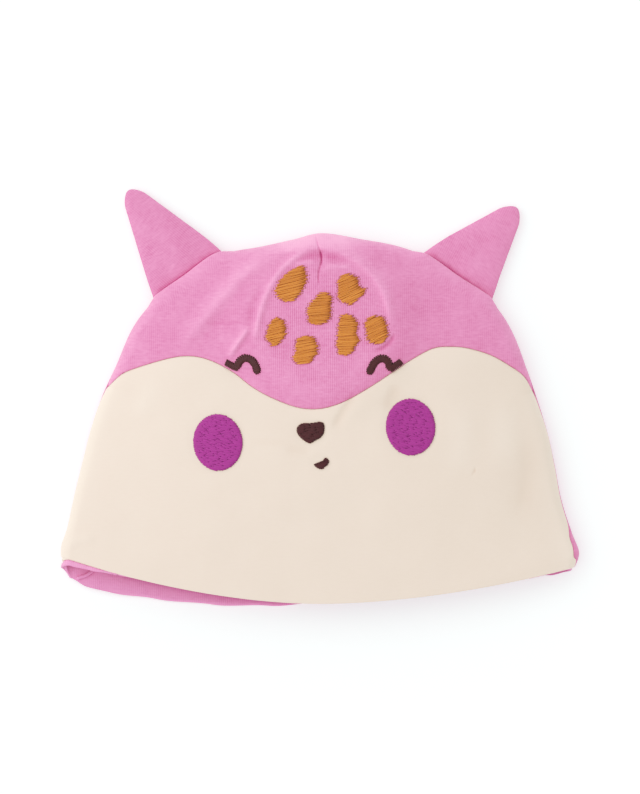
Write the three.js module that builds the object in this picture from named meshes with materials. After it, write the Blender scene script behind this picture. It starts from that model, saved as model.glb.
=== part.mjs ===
import * as THREE from 'three';

// A baby hat with ears, lying flat on its back. Millimetres, +X to the right, +Y to the crown,
// +Z up. The head opening faces -Y. The hat is a pouch of nested skins: depth 0 is its outer
// surface, and a greater depth is further inside the cloth.

const hemWidth = 195.4; // across the hem between the side folds
const hatHeight = 141; // front hem to crown, at the middle
const hemRiseLeft = 17.7; // how far the hem climbs to its left corner
const hemRiseRight = 13.7; // and to its right corner
const edgeRadius = 4.2; // round of the cloth where it folds at the sides and crown
const hemFullness = 6; // how far the front hem stands above a flat pouch
const crownFullness = 15; // how far the crown would stand above a flat pouch
const shellThickness = 1.2; // outer jersey
const liningThickness = 1.0; // inner jersey
const liningGap = 0.5; // how loosely the lining lies inside the outer jersey
const clearance = 0.3; // between neighbouring pieces
const backHemShift = 8.3; // how far the back hem lies below the front hem, where it shows most
const hemShiftReach = 16; // height over which such a shift fades
const liningPeek = 2.4; // how far the lining shows below the front hem at the left corner
const foldHeight = 1.2; // height of the deepest soft fold in the front
const foldWidth = 7; // and its half width
const threadHeight = 0.7; // height of an embroidered patch over the cloth
const cheekWidth = 18.8;
const cheekHeight = 21.4;
const noseWidth = 10.4;
const noseHeight = 8;
const mouthWidth = 5.8;
const mouthHeight = 4.1;
const eyeWidth = 12.9; // with its lash
const eyeHeight = 6.7;
const spotSize = 13; // longest side of a middling spot
const earBase = 33; // width of an ear at its seam
const earHeight = 40; // seam to tip
const earThickness = 4.4;
const earTipRadius = 3.2;

const sideSteps = 10; // steps along a side below the seam between crown and face panel
const crownSteps = 24; // steps along the folded edge above that seam
const cornerSteps = 4; // parts of the first and last of those steps, where the seam meets the edge
const foldSteps = 4; // steps round a quarter of the folded edge
const frontSteps = 7; // steps from the folded edge to the front hem
const crownRings = 9; // rings of the crown between its edge and its seam
const faceRings = 9; // rings of the face panel between its upper edge and the hem
const backSteps = 3;
const fullestShare = 0.55; // share of its height at which the hat is fullest
const hemSpread = 0.8; // share of the hem that the lines from the folded edge end on
const straightDown = -Math.PI / 2;
const straightUp = Math.PI / 2;
const outlineSamples = 400;
const searchSteps = 30;

const pinkJersey = { color: '#e890c0', roughness: 0.9, metalness: 0 };
const creamJersey = { color: '#ebddd0', roughness: 0.9, metalness: 0 };
const purpleThread = { color: '#a83b8f', roughness: 0.55, metalness: 0 };
const brownThread = { color: '#4f2e2c', roughness: 0.55, metalness: 0 };
const ochreThread = { color: '#d08440', roughness: 0.5, metalness: 0 };

// The hat seen from above. Up is a share of the way from a hem corner to the crown, left and
// right are shares of half the hem width.
const outlineRows = [
  { up: 0, left: 1.009, right: 0.996 },
  { up: 0.04, left: 1.006, right: 1.012 },
  { up: 0.1, left: 0.987, right: 0.985 },
  { up: 0.2, left: 0.958, right: 0.943 },
  { up: 0.3, left: 0.926, right: 0.918 },
  { up: 0.4, left: 0.893, right: 0.89 },
  { up: 0.5, left: 0.85, right: 0.85 },
  { up: 0.6, left: 0.792, right: 0.805 },
  { up: 0.7, left: 0.737, right: 0.754 },
  { up: 0.76, left: 0.685, right: 0.708 },
  { up: 0.8, left: 0.634, right: 0.66 },
  { up: 0.86, left: 0.527, right: 0.541 },
  { up: 0.93, left: 0.401, right: 0.409 },
  { up: 0.96, left: 0.222, right: 0.311 },
  { up: 0.982, left: 0.097, right: 0.163 },
];

// Where the side seams lie round the folded edge, in degrees above (+) or below (-) its middle.
const seamRows = [
  { up: 0, left: -35, right: 62 },
  { up: 0.06, left: -32, right: 50 },
  { up: 0.15, left: -25, right: 22 },
  { up: 0.3, left: -12, right: 10 },
  { up: 0.45, left: 0, right: 0 },
  { up: 1, left: 0, right: 0 },
];

// The back hem against the front hem, down as a share of backHemShift.
const backHemRows = [
  { across: -1, down: 0.1 },
  { across: -0.97, down: 0.78 },
  { across: -0.9, down: 1 },
  { across: -0.8, down: 0.93 },
  { across: -0.64, down: 0.75 },
  { across: -0.42, down: 0.55 },
  { across: -0.2, down: 0.28 },
  { across: 0, down: 0 },
  { across: 0.3, down: -0.14 },
  { across: 0.6, down: -0.12 },
  { across: 0.9, down: 0.03 },
  { across: 1, down: 0 },
];

const liningPeekRows = [
  { across: -1, down: 1 },
  { across: -0.88, down: 0.75 },
  { across: -0.74, down: 0 },
  { across: 1, down: 0 },
];

// The seam between crown and face panel: a widow's peak between two high arches.
const peakRows = [
  { across: -0.837, up: 0.586 },
  { across: -0.774, up: 0.618 },
  { across: -0.677, up: 0.643 },
  { across: -0.55, up: 0.665 },
  { across: -0.479, up: 0.665 },
  { across: -0.418, up: 0.653 },
  { across: -0.336, up: 0.623 },
  { across: -0.265, up: 0.585 },
  { across: -0.194, up: 0.557 },
  { across: -0.082, up: 0.528 },
  { across: -0.004, up: 0.525 },
  { across: 0.071, up: 0.538 },
  { across: 0.131, up: 0.558 },
  { across: 0.22, up: 0.595 },
  { across: 0.343, up: 0.652 },
  { across: 0.442, up: 0.688 },
  { across: 0.502, up: 0.692 },
  { across: 0.565, up: 0.689 },
  { across: 0.668, up: 0.668 },
  { across: 0.756, up: 0.633 },
  { across: 0.804, up: 0.611 },
  { across: 0.839, up: 0.572 },
];
const peakSamples = 60;

// Soft folds pressed into the front: height and width are shares of foldHeight and foldWidth.
const foldRows = [
  { name: 'left crown', across: -0.53, up: 0.72, toAcross: -0.31, toUp: 0.87, height: 0.7, width: 1.2 },
  { name: 'right crown', across: 0.42, up: 0.76, toAcross: 0.6, toUp: 0.8, height: 0.45, width: 1.3 },
  { name: 'dart', across: 0, up: 1, toAcross: -0.004, toUp: 0.87, height: -0.5, width: 0.7 },
  { name: 'peak', across: 0.12, up: 0.56, toAcross: 0.06, toUp: 0.49, height: -0.35, width: 0.9 },
  { name: 'right side', across: 0.8, up: 0.48, toAcross: 0.82, toUp: 0.24, height: -0.9, width: 1.2 },
  { name: 'left hem', across: -0.72, up: 0.16, toAcross: -0.5, toUp: 0.1, height: 0.5, width: 1.4 },
];

// Ears: along is the place of their middle on the folded edge, lean is in degrees away from
// square to it, size is a share of earHeight.
const earRows = [
  { name: 'ear_left', along: 0.342, lean: -2, size: 1 },
  { name: 'ear_right', along: 0.65, lean: -6, size: 0.89 },
];
// Sections of an ear from its seam to its tip, as shares of its height.
const earSections = [0, 0.12, 0.26, 0.4, 0.55, 0.7, 0.82, 0.9, 0.94, 0.97, 0.99];
const earSides = 14; // round one section, an even number
const earThinning = 0.35; // share of its thickness that an ear loses by its tip
const earFlare = 0.3; // share of its height over which an ear leaves the curve of its seam

// Spots: place as shares of half the hem width and of the height, sides as shares of spotSize,
// turn in degrees, lump is how far the outline strays from an ellipse.
const spotRows = [
  { across: -0.113, up: 0.86, wide: 1.12, high: 0.83, turn: 42, lump: 0.1 },
  { across: -0.002, up: 0.794, wide: 0.84, high: 0.72, turn: 70, lump: 0.12 },
  { across: 0.12, up: 0.846, wide: 0.93, high: 0.83, turn: 20, lump: 0.14 },
  { across: -0.168, up: 0.732, wide: 0.86, high: 0.6, turn: 72, lump: 0.1 },
  { across: -0.055, up: 0.683, wide: 0.87, high: 0.68, turn: 55, lump: 0.12 },
  { across: 0.107, up: 0.727, wide: 1.18, high: 0.66, turn: 98, lump: 0.1 },
  { across: 0.221, up: 0.736, wide: 0.86, high: 0.66, turn: 112, lump: 0.1 },
];
const cheekRows = [
  { name: 'cheek_left', across: -0.396, up: 0.435, turn: 6 },
  { name: 'cheek_right', across: 0.35, up: 0.476, turn: 6 },
];
const ovalSides = 20;
const ovalRings = 2;

// Nose outline, as shares of its own width and height: a soft heart with a nearly flat top.
const noseRows = [
  { across: -0.5, up: 0.2 },
  { across: -0.34, up: 0.42 },
  { across: 0, up: 0.44 },
  { across: 0.38, up: 0.5 },
  { across: 0.5, up: 0.4 },
  { across: 0.5, up: 0.08 },
  { across: 0.34, up: -0.2 },
  { across: 0, up: -0.5 },
  { across: -0.3, up: -0.28 },
];
const nosePlace = { across: -0.034, up: 0.462 };

// Mouth outline: a short crescent that curls up at its right end.
const mouthRows = [
  { across: -0.5, up: -0.05 },
  { across: -0.26, up: 0.18 },
  { across: 0.09, up: 0.29 },
  { across: 0.26, up: 0.5 },
  { across: 0.5, up: 0.29 },
  { across: 0.38, up: -0.12 },
  { across: -0.03, up: -0.5 },
  { across: -0.32, up: -0.37 },
];
const mouthPlace = { across: 0.006, up: 0.378 };

// Outline of a closed left eye with its lash, round from the tip of the lash over the arc. The
// right eye is its mirror image.
const eyeOutline = [
  { across: -0.495, up: 0.22 },
  { across: -0.33, up: 0.065 },
  { across: -0.23, up: 0.03 },
  { across: -0.14, up: 0.33 },
  { across: 0.02, up: 0.5 },
  { across: 0.255, up: 0.415 },
  { across: 0.425, up: 0.02 },
  { across: 0.5, up: -0.415 },
  { across: 0.37, up: -0.5 },
  { across: 0.295, up: -0.095 },
  { across: 0.19, up: 0.16 },
  { across: 0.05, up: 0.225 },
  { across: -0.06, up: 0.07 },
  { across: -0.145, up: -0.23 },
  { across: -0.35, up: -0.195 },
  { across: -0.5, up: 0.015 },
];
const eyeRows = [
  { name: 'eye_left', across: -0.296, up: 0.6425, mirror: 1, turn: 0 },
  { name: 'eye_right', across: 0.247, up: 0.641, mirror: -1, turn: 5 },
];

const halfWidth = hemWidth / 2;
const degrees = Math.PI / 180;

// Value of one column of a table at a place between its rows, without corners.
function tableValue(rows, key, column, at) {
  let next = rows.findIndex((row) => row[key] >= at);
  if (next === -1) next = rows.length - 1;
  if (next === 0) return rows[0][column];
  const low = rows[next - 1];
  const high = rows[next];
  const share = Math.min(1, (at - low[key]) / (high[key] - low[key]));
  const eased = share * share * (3 - 2 * share);
  return low[column] + (high[column] - low[column]) * eased;
}

function planPoint(row) {
  return new THREE.Vector2(row.across * halfWidth, row.up * hatHeight);
}

function smoothCurve(points) {
  const lifted = points.map((point) => new THREE.Vector3(point.x, point.y, 0));
  const curve = new THREE.CatmullRomCurve3(lifted, false, 'centripetal');
  curve.arcLengthDivisions = outlineSamples;
  return curve;
}

function makeOutline() {
  const leftSide = outlineRows.map((row) => new THREE.Vector2(
    -row.left * halfWidth,
    hemRiseLeft + (hatHeight - hemRiseLeft) * row.up,
  ));
  const rightSide = outlineRows.map((row) => new THREE.Vector2(
    row.right * halfWidth,
    hemRiseRight + (hatHeight - hemRiseRight) * row.up,
  ));
  return smoothCurve([...leftSide, new THREE.Vector2(0, hatHeight), ...rightSide.reverse()]);
}

const outline = makeOutline();
const leftCorner = -outline.getPointAt(0).x;
const rightCorner = outline.getPointAt(1).x;

// Height of the front hem line above its middle.
function hemLine(x) {
  const share = Math.abs(x) / (x < 0 ? leftCorner : rightCorner);
  return (x < 0 ? hemRiseLeft : hemRiseRight) * share ** 1.8;
}

// Outline seen from the middle of the hem, for reading how near a point lies to the edge.
const rimByAngle = outline.getSpacedPoints(outlineSamples).map((point) => {
  const above = Math.max(0, point.y - hemLine(point.x));
  return { angle: -Math.atan2(above, point.x), reach: Math.hypot(point.x, above) };
});

function edgeShare(x, above) {
  const angle = -Math.atan2(Math.max(0, above), x);
  const next = Math.max(1, rimByAngle.findIndex((rim) => rim.angle >= angle));
  const low = rimByAngle[next - 1];
  const high = rimByAngle[next];
  const share = (angle - low.angle) / Math.max(1e-9, high.angle - low.angle);
  const reach = low.reach + (high.reach - low.reach) * Math.min(1, Math.max(0, share));
  return Math.hypot(x, above) / reach;
}

// How far the front stands above a flat pouch at a place in the plan.
function fullness(x, above) {
  const climb = Math.min(1, Math.max(0, above) / (fullestShare * hatHeight));
  const crown = Math.sin((climb * Math.PI) / 2);
  const dome = hemFullness + (crownFullness - hemFullness) * crown;
  const share = Math.min(1, edgeShare(x, above));
  return dome * (1 - share ** 2.4);
}

function foldsAt(x, y) {
  let height = 0;
  for (const row of foldRows) {
    const start = planPoint(row);
    const end = planPoint({ across: row.toAcross, up: row.toUp });
    const along = end.clone().sub(start);
    const offset = new THREE.Vector2(x, y).sub(start);
    const share = Math.min(1, Math.max(0, offset.dot(along) / along.lengthSq()));
    const distance = offset.sub(along.multiplyScalar(share)).length();
    height += row.height * foldHeight * Math.exp(-((distance / (row.width * foldWidth)) ** 2));
  }
  return height;
}

// The seam between crown and face panel as short straight pieces, run on past the hat at its ends.
const peakCurve = smoothCurve(peakRows.map(planPoint));
const peakLine = peakCurve.getSpacedPoints(peakSamples);

// Distance of a point in the plan from that seam, positive on the crown's side.
function abovePeak(x, y) {
  let nearest = Infinity;
  let signed = 0;
  for (let index = 0; index < peakSamples; index += 1) {
    const start = peakLine[index];
    const alongX = peakLine[index + 1].x - start.x;
    const alongY = peakLine[index + 1].y - start.y;
    let share = ((x - start.x) * alongX + (y - start.y) * alongY) / (alongX ** 2 + alongY ** 2);
    if (index > 0) share = Math.max(0, share);
    if (index < peakSamples - 1) share = Math.min(1, share);
    const offX = x - start.x - share * alongX;
    const offY = y - start.y - share * alongY;
    const distance = Math.hypot(offX, offY);
    if (distance < nearest) {
      nearest = distance;
      signed = Math.sign(alongX * offY - alongY * offX) * distance;
    }
  }
  return signed;
}

// The share along the folded edge where the seam reaches it, searched between two shares.
function peakReachesEdge(from, to) {
  let inside = from;
  let outside = to;
  for (let step = 0; step < searchSteps; step += 1) {
    const middle = (inside + outside) / 2;
    const point = outline.getPointAt(middle);
    if (abovePeak(point.x, point.y) > 0) outside = middle;
    else inside = middle;
  }
  return inside;
}

const crownStart = peakReachesEdge(0, 0.5);
const crownEnd = peakReachesEdge(1, 0.5);

// A place along the folded edge, with the way in from it, which is level with the hem at its ends.
function makeStation(share) {
  const point = outline.getPointAt(share);
  const tangent = outline.getTangentAt(share);
  const above = Math.max(0, point.y - hemLine(point.x));
  const slope = hemLine(point.x + 0.5) - hemLine(point.x - 0.5);
  const level = Math.min(1, above / hemShiftReach);
  const side = point.x < 0 ? 'left' : 'right';
  const rise = side === 'left' ? hemRiseLeft : hemRiseRight;
  return {
    x: point.x,
    above,
    inX: tangent.y,
    inAbove: (-tangent.x - slope * tangent.y) * level,
    hemX: hemSpread * halfWidth * (2 * share - 1),
    seamTurn: tableValue(seamRows, 'up', side, (point.y - rise) / (hatHeight - rise)) * degrees,
  };
}

function stationsBetween(from, to, steps) {
  const shares = Array.from({ length: steps + 1 }, (_, step) => from + ((to - from) * step) / steps);
  return shares.map(makeStation);
}

const crownStep = (crownEnd - crownStart) / crownSteps;
const crownStations = [
  ...stationsBetween(crownStart, crownStart + crownStep, cornerSteps).slice(0, -1),
  ...stationsBetween(crownStart + crownStep, crownEnd - crownStep, crownSteps - 2),
  ...stationsBetween(crownEnd - crownStep, crownEnd, cornerSteps).slice(1),
];
const allStations = [
  ...stationsBetween(0, crownStart, sideSteps).slice(0, -1),
  ...crownStations,
  ...stationsBetween(crownEnd, 1, sideSteps).slice(1),
];

// A point of the skin at a depth. Turn goes round the folded edge, from straightDown where the
// skin lies on the surface to straightUp where the front begins, and inward goes on to the hem.
function skinPoint(station, { turn, inward }, depth, peek) {
  const radius = edgeRadius - depth;
  const inset = edgeRadius - radius * Math.cos(turn);
  let x = station.x + station.inX * inset;
  let above = station.above + station.inAbove * inset;
  if (inward > 0) {
    const reach = 0.3 * Math.hypot(station.hemX - x, above);
    const midX = x + station.inX * reach;
    const midAbove = Math.max(0, above + station.inAbove * reach);
    const start = (1 - inward) ** 2;
    const middle = 2 * inward * (1 - inward);
    x = start * x + middle * midX + inward ** 2 * station.hemX;
    above = start * above + middle * midAbove;
  }
  const frontShare = (1 + Math.sin(turn)) / 2;
  const across = x / (x < 0 ? leftCorner : rightCorner);
  const backDown = backHemShift * tableValue(backHemRows, 'across', 'down', across);
  const frontDown = peek * tableValue(liningPeekRows, 'across', 'down', across);
  const down = backDown * (1 - frontShare) + frontDown * frontShare;
  const y = hemLine(x) + above - down * Math.exp(-above / hemShiftReach);
  const lift = Math.max(0, Math.sin(turn)) * (fullness(x, y - hemLine(x)) + foldsAt(x, y));
  return new THREE.Vector3(x, y, edgeRadius + radius * Math.sin(turn) + lift);
}

// Height of the front at a place in the plan, at a depth.
function frontHeight(x, y, depth) {
  return 2 * edgeRadius - depth + fullness(x, y - hemLine(x)) + foldsAt(x, y);
}

// The front is counted from 0 at the side seam, through foldSteps where the folded edge ends, to
// frontEnd at the hem.
const frontEnd = foldSteps + frontSteps;
const seamGap = clearance / (edgeRadius - shellThickness); // as an angle round the folded edge

function frontRing(station, count) {
  const start = station.seamTurn + seamGap / 2;
  const turn = start + (straightUp - start) * Math.min(1, count / foldSteps);
  return { turn, inward: Math.max(0, (count - foldSteps) / frontSteps) };
}

// The count at which a station's line into the front comes to a distance from the crown's seam.
function countBesidePeak(station, distance) {
  let crown = 0;
  let face = frontEnd;
  for (let step = 0; step < searchSteps; step += 1) {
    const middle = (crown + face) / 2;
    const point = skinPoint(station, frontRing(station, middle), 0, 0);
    if (abovePeak(point.x, point.y) > distance) crown = middle;
    else face = middle;
  }
  return crown;
}

function frontRings(station, from, to, steps) {
  const counts = Array.from({ length: steps + 1 }, (_, step) => from + ((to - from) * step) / steps);
  return counts.map((count) => frontRing(station, count));
}

function crownPanelRings(station) {
  return frontRings(station, 0, countBesidePeak(station, clearance / 2), crownRings);
}

function facePanelRings(station) {
  return frontRings(station, countBesidePeak(station, -clearance / 2), frontEnd, faceRings);
}

function turnRings(from, to, steps) {
  return Array.from({ length: steps + 1 }, (_, step) => (
    { turn: from + ((to - from) * step) / steps, inward: 0 }
  ));
}

function inwardRings(turn, steps) {
  return Array.from({ length: steps }, (_, step) => ({ turn, inward: (step + 1) / steps }));
}

function backPanelRings(station) {
  const start = station.seamTurn - seamGap / 2;
  return [...turnRings(start, straightDown, foldSteps), ...inwardRings(straightDown, backSteps)];
}

// From the front hem over the folded edge to the back hem.
function liningRings() {
  return [
    ...inwardRings(straightUp, frontSteps).reverse(),
    ...turnRings(straightUp, straightDown, foldSteps),
    ...inwardRings(straightDown, backSteps),
  ];
}

function geometryFrom(positions, triangles) {
  const geometry = new THREE.BufferGeometry();
  geometry.setAttribute('position', new THREE.Float32BufferAttribute(positions, 3));
  geometry.setIndex(triangles);
  geometry.computeVertexNormals();
  return geometry;
}

// One closed sheet of cloth between two depths. Its grid runs along the stations and across the
// rings, and front says whether the outer depth looks up.
function makeSheet(stations, ringsOf, outerDepth, innerDepth, front, peek = 0) {
  const rows = stations.length;
  const ringLists = stations.map(ringsOf);
  const columns = ringLists[0].length;
  const positions = [];
  for (const depth of [outerDepth, innerDepth]) {
    stations.forEach((station, row) => {
      for (const ring of ringLists[row]) {
        positions.push(...skinPoint(station, ring, depth, peek).toArray());
      }
    });
  }
  const outerAt = (row, column) => row * columns + column;
  const innerAt = (row, column) => rows * columns + outerAt(row, column);
  const triangles = [];
  const addQuad = (a, b, c, d) => {
    triangles.push(...(front ? [a, b, c, a, c, d] : [a, c, b, a, d, c]));
  };
  const lastRow = rows - 1;
  const lastColumn = columns - 1;
  for (let row = 0; row < lastRow; row += 1) {
    for (let column = 0; column < lastColumn; column += 1) {
      const corners = [[row, column], [row, column + 1], [row + 1, column + 1], [row + 1, column]];
      addQuad(...corners.map((corner) => outerAt(...corner)));
      addQuad(...corners.reverse().map((corner) => innerAt(...corner)));
    }
    addQuad(outerAt(row, 0), outerAt(row + 1, 0), innerAt(row + 1, 0), innerAt(row, 0));
    addQuad(
      outerAt(row + 1, lastColumn),
      outerAt(row, lastColumn),
      innerAt(row, lastColumn),
      innerAt(row + 1, lastColumn),
    );
  }
  for (let column = 0; column < lastColumn; column += 1) {
    addQuad(outerAt(0, column + 1), outerAt(0, column), innerAt(0, column), innerAt(0, column + 1));
    addQuad(
      outerAt(lastRow, column),
      outerAt(lastRow, column + 1),
      innerAt(lastRow, column + 1),
      innerAt(lastRow, column),
    );
  }
  return geometryFrom(positions, triangles);
}

// Points of an outline from rows that hold shares of its own width and height.
function outlinePoints(place, rows, width, height) {
  const centre = planPoint(place);
  const mirror = place.mirror ?? 1;
  const points = rows.map((row) => (
    new THREE.Vector2(mirror * row.across * width, row.up * height)
      .rotateAround(new THREE.Vector2(), (place.turn ?? 0) * degrees)
      .add(centre)
  ));
  return THREE.ShapeUtils.isClockWise(points) ? points.reverse() : points;
}

function smoothOutline(points, sides) {
  const lifted = points.map((point) => new THREE.Vector3(point.x, point.y, 0));
  const curve = new THREE.CatmullRomCurve3(lifted, true, 'centripetal');
  return curve.getSpacedPoints(sides).slice(1).map((point) => new THREE.Vector2(point.x, point.y));
}

function ovalRow(side, lump, phase) {
  const angle = (side / ovalSides) * 2 * Math.PI;
  const swell = 1 + lump * Math.cos(3 * angle + phase);
  return { across: (Math.cos(angle) * swell) / 2, up: (Math.sin(angle) * swell) / 2 };
}

function ovalPoints(place, width, height) {
  const sides = Array.from({ length: ovalSides }, (_, side) => side);
  const rows = sides.map((side) => ovalRow(side, place.lump ?? 0, place.turn));
  return outlinePoints(place, rows, width, height);
}

// An embroidered patch over the front, between a lower and an upper copy of one flat net.
function makePatch(netPoints, netTriangles, rimStart) {
  const count = netPoints.length;
  const positions = [];
  for (const depth of [-clearance - threadHeight, -clearance]) {
    for (const point of netPoints) positions.push(point.x, point.y, frontHeight(point.x, point.y, depth));
  }
  const triangles = [];
  for (const [a, b, c] of netTriangles) triangles.push(a, b, c, count + a, count + c, count + b);
  const sides = count - rimStart;
  for (let side = 0; side < sides; side += 1) {
    const here = rimStart + side;
    const next = rimStart + ((side + 1) % sides);
    triangles.push(here, count + here, count + next, here, count + next, next);
  }
  return geometryFrom(positions, triangles);
}

// A patch whose outline can be seen whole from its middle, with rings inside it.
function makeRoundPatch(points) {
  const middle = points.reduce((sum, point) => sum.add(point), new THREE.Vector2());
  middle.divideScalar(points.length);
  const sides = points.length;
  const netPoints = [middle];
  for (let ring = 1; ring <= ovalRings; ring += 1) {
    for (const point of points) netPoints.push(middle.clone().lerp(point, ring / ovalRings));
  }
  const netTriangles = [];
  for (let side = 0; side < sides; side += 1) {
    const next = (side + 1) % sides;
    netTriangles.push([0, 1 + side, 1 + next]);
    for (let ring = 1; ring < ovalRings; ring += 1) {
      const inner = 1 + (ring - 1) * sides;
      const outer = inner + sides;
      netTriangles.push([inner + side, outer + side, outer + next]);
      netTriangles.push([inner + side, outer + next, inner + next]);
    }
  }
  return makePatch(netPoints, netTriangles, 1 + (ovalRings - 1) * sides);
}

function makeLinePatch(points) {
  return makePatch(points, THREE.ShapeUtils.triangulateShape(points, []), 0);
}

// An ear is a closed cushion. Its root follows the round of the folded edge, a clearance from it.
function makeEar(row) {
  const foot = outline.getPointAt(row.along);
  const tangent = outline.getTangentAt(row.along);
  const out = new THREE.Vector2(-tangent.y, tangent.x)
    .rotateAround(new THREE.Vector2(), row.lean * degrees);
  const sideways = new THREE.Vector2(out.y, -out.x);
  const height = earHeight * row.size;
  const seamLength = outline.getLength();
  const tipMiddle = earThickness / 2 + clearance;
  const rootInset = (high) => edgeRadius - Math.sqrt((edgeRadius + clearance) ** 2 - high ** 2);
  const earPoint = (section, wide, high) => {
    const seam = outline.getPointAt(row.along + wide / seamLength);
    const seamWay = outline.getTangentAt(row.along + wide / seamLength);
    const inset = rootInset(high);
    const free = Math.min(1, section / earFlare);
    const rootX = seam.x + seamWay.y * inset;
    const rootY = seam.y - seamWay.x * inset;
    return [
      rootX + (foot.x + sideways.x * wide - rootX) * free + out.x * section * height,
      rootY + (foot.y + sideways.y * wide - rootY) * free + out.y * section * height,
      edgeRadius + (tipMiddle - edgeRadius) * section + high,
    ];
  };
  const positions = [];
  const triangles = [];
  for (const section of earSections) {
    const round = Math.min(1, ((1 - section) * height) / (1.6 * earTipRadius));
    const closing = Math.sqrt(1 - (1 - round) ** 2);
    const halfSide = (earTipRadius + (earBase / 2 - earTipRadius) * (1 - section)) * closing;
    const halfThick = (earThickness * (1 - earThinning * section) * closing) / 2;
    for (let side = 0; side < earSides; side += 1) {
      const angle = (side / earSides) * 2 * Math.PI;
      const high = Math.sign(Math.sin(angle)) * Math.abs(Math.sin(angle)) ** 1.2 * halfThick;
      positions.push(...earPoint(section, Math.cos(angle) * halfSide, high));
    }
  }
  const lastRing = (earSections.length - 1) * earSides;
  const tip = positions.length / 3;
  positions.push(...earPoint(1, 0, 0));
  const halfSides = earSides / 2;
  for (let side = 1; side < halfSides; side += 1) {
    const wide = (Math.cos((side / earSides) * 2 * Math.PI) * earBase) / 2;
    positions.push(...earPoint(0, wide, 0));
  }
  for (let side = 0; side < earSides; side += 1) {
    const beside = (side + 1) % earSides;
    for (let ring = 0; ring < lastRing; ring += earSides) {
      const above = ring + earSides;
      triangles.push(ring + side, above + beside, ring + beside);
      triangles.push(ring + side, above + side, above + beside);
    }
    triangles.push(lastRing + side, tip, lastRing + beside);
  }
  // The root face has a line of points along its middle, between its two corners.
  const middleAt = (side) => {
    if (side === 0 || side === halfSides) return side;
    return tip + side;
  };
  for (let side = 0; side < halfSides; side += 1) {
    const under = (earSides - side) % earSides;
    const corners = [side, side + 1, middleAt(side + 1), middleAt(side)];
    const mirrored = [middleAt(side), middleAt(side + 1), earSides - side - 1, under];
    for (const [a, b, c, d] of [corners, mirrored]) {
      if (b !== c) triangles.push(a, b, c);
      if (a !== d) triangles.push(a, c, d);
    }
  }
  return geometryFrom(positions, triangles);
}

const hat = new THREE.Group();

function addPiece(name, geometry, finish) {
  const mesh = new THREE.Mesh(geometry, new THREE.MeshStandardMaterial(finish));
  mesh.name = name;
  hat.add(mesh);
}

const liningDepth = shellThickness + liningGap;
addPiece(
  'crown_front',
  makeSheet(crownStations.slice(1, -1), crownPanelRings, 0, shellThickness, true),
  pinkJersey,
);
addPiece('face_panel', makeSheet(allStations, facePanelRings, 0, shellThickness, true), creamJersey);
addPiece('back_panel', makeSheet(allStations, backPanelRings, 0, shellThickness, false), pinkJersey);
addPiece(
  'lining',
  makeSheet(
    allStations,
    liningRings,
    liningDepth,
    liningDepth + liningThickness,
    false,
    liningPeek,
  ),
  pinkJersey,
);

for (const row of earRows) addPiece(row.name, makeEar(row), pinkJersey);

for (const row of cheekRows) {
  addPiece(row.name, makeRoundPatch(ovalPoints(row, cheekWidth, cheekHeight)), purpleThread);
}
const noseCorners = outlinePoints(nosePlace, noseRows, noseWidth, noseHeight);
addPiece('nose', makeRoundPatch(smoothOutline(noseCorners, ovalSides)), brownThread);
addPiece(
  'mouth',
  makeLinePatch(outlinePoints(mouthPlace, mouthRows, mouthWidth, mouthHeight)),
  brownThread,
);
for (const row of eyeRows) {
  addPiece(row.name, makeLinePatch(outlinePoints(row, eyeOutline, eyeWidth, eyeHeight)), brownThread);
}
spotRows.forEach((row, index) => {
  const points = ovalPoints(row, row.wide * spotSize, row.high * spotSize);
  addPiece(`spot_${index + 1}`, makeRoundPatch(points), ochreThread);
});

// The origin is the middle of the hat's own box, on the surface that it lies on.
const box = new THREE.Box3().setFromObject(hat);
hat.position.set(-(box.min.x + box.max.x) / 2, -(box.min.y + box.max.y) / 2, -box.min.z);

export default hat;
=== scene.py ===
import bpy
import math
import random
import numpy as np
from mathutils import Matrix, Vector


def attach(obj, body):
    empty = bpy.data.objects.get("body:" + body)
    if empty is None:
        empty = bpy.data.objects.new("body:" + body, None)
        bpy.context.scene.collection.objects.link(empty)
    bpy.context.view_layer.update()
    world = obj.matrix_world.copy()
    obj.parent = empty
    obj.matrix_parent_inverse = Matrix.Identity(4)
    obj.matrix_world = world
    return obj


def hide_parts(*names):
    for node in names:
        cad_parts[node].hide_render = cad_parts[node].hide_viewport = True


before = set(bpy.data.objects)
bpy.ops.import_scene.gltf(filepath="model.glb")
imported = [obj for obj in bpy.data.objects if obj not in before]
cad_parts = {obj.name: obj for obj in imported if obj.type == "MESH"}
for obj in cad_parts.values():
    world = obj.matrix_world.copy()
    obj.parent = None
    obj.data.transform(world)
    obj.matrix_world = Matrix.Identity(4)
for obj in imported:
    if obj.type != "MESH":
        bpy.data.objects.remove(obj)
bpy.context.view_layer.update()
dice = random.Random(11)
mm = 0.001

# A lying baby hat. Plan places are in millimetres: x from the middle of the front hem to the
# right, y from it towards the crown. Depth goes from the outside of the cloth inwards.
hat = {
    "hemWidth": 195.4,
    "height": 141.0,
    "hemRiseLeft": 17.7,
    "hemRiseRight": 13.7,
    "edgeRadius": 4.2,        # round of the cloth at its side folds
    "hemFullness": 6.0,
    "crownFullness": 15.0,
    "fullestShare": 0.55,
    "domeRound": 2.9,
    "shell": 1.2,             # outer jersey
    "lining": 1.0,            # inner jersey
    "liningGap": 0.12,
    "backHemShift": 8.3,      # how far the back hem shows below the front hem
    "hemShiftReach": 16.0,
    "liningPeek": 2.4,        # how far the lining shows below the front hem at the left
    "hemSpread": 0.8,
    "hemCurve": 1.8,
    "middle": (0.0215, -78.165),
}

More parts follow.
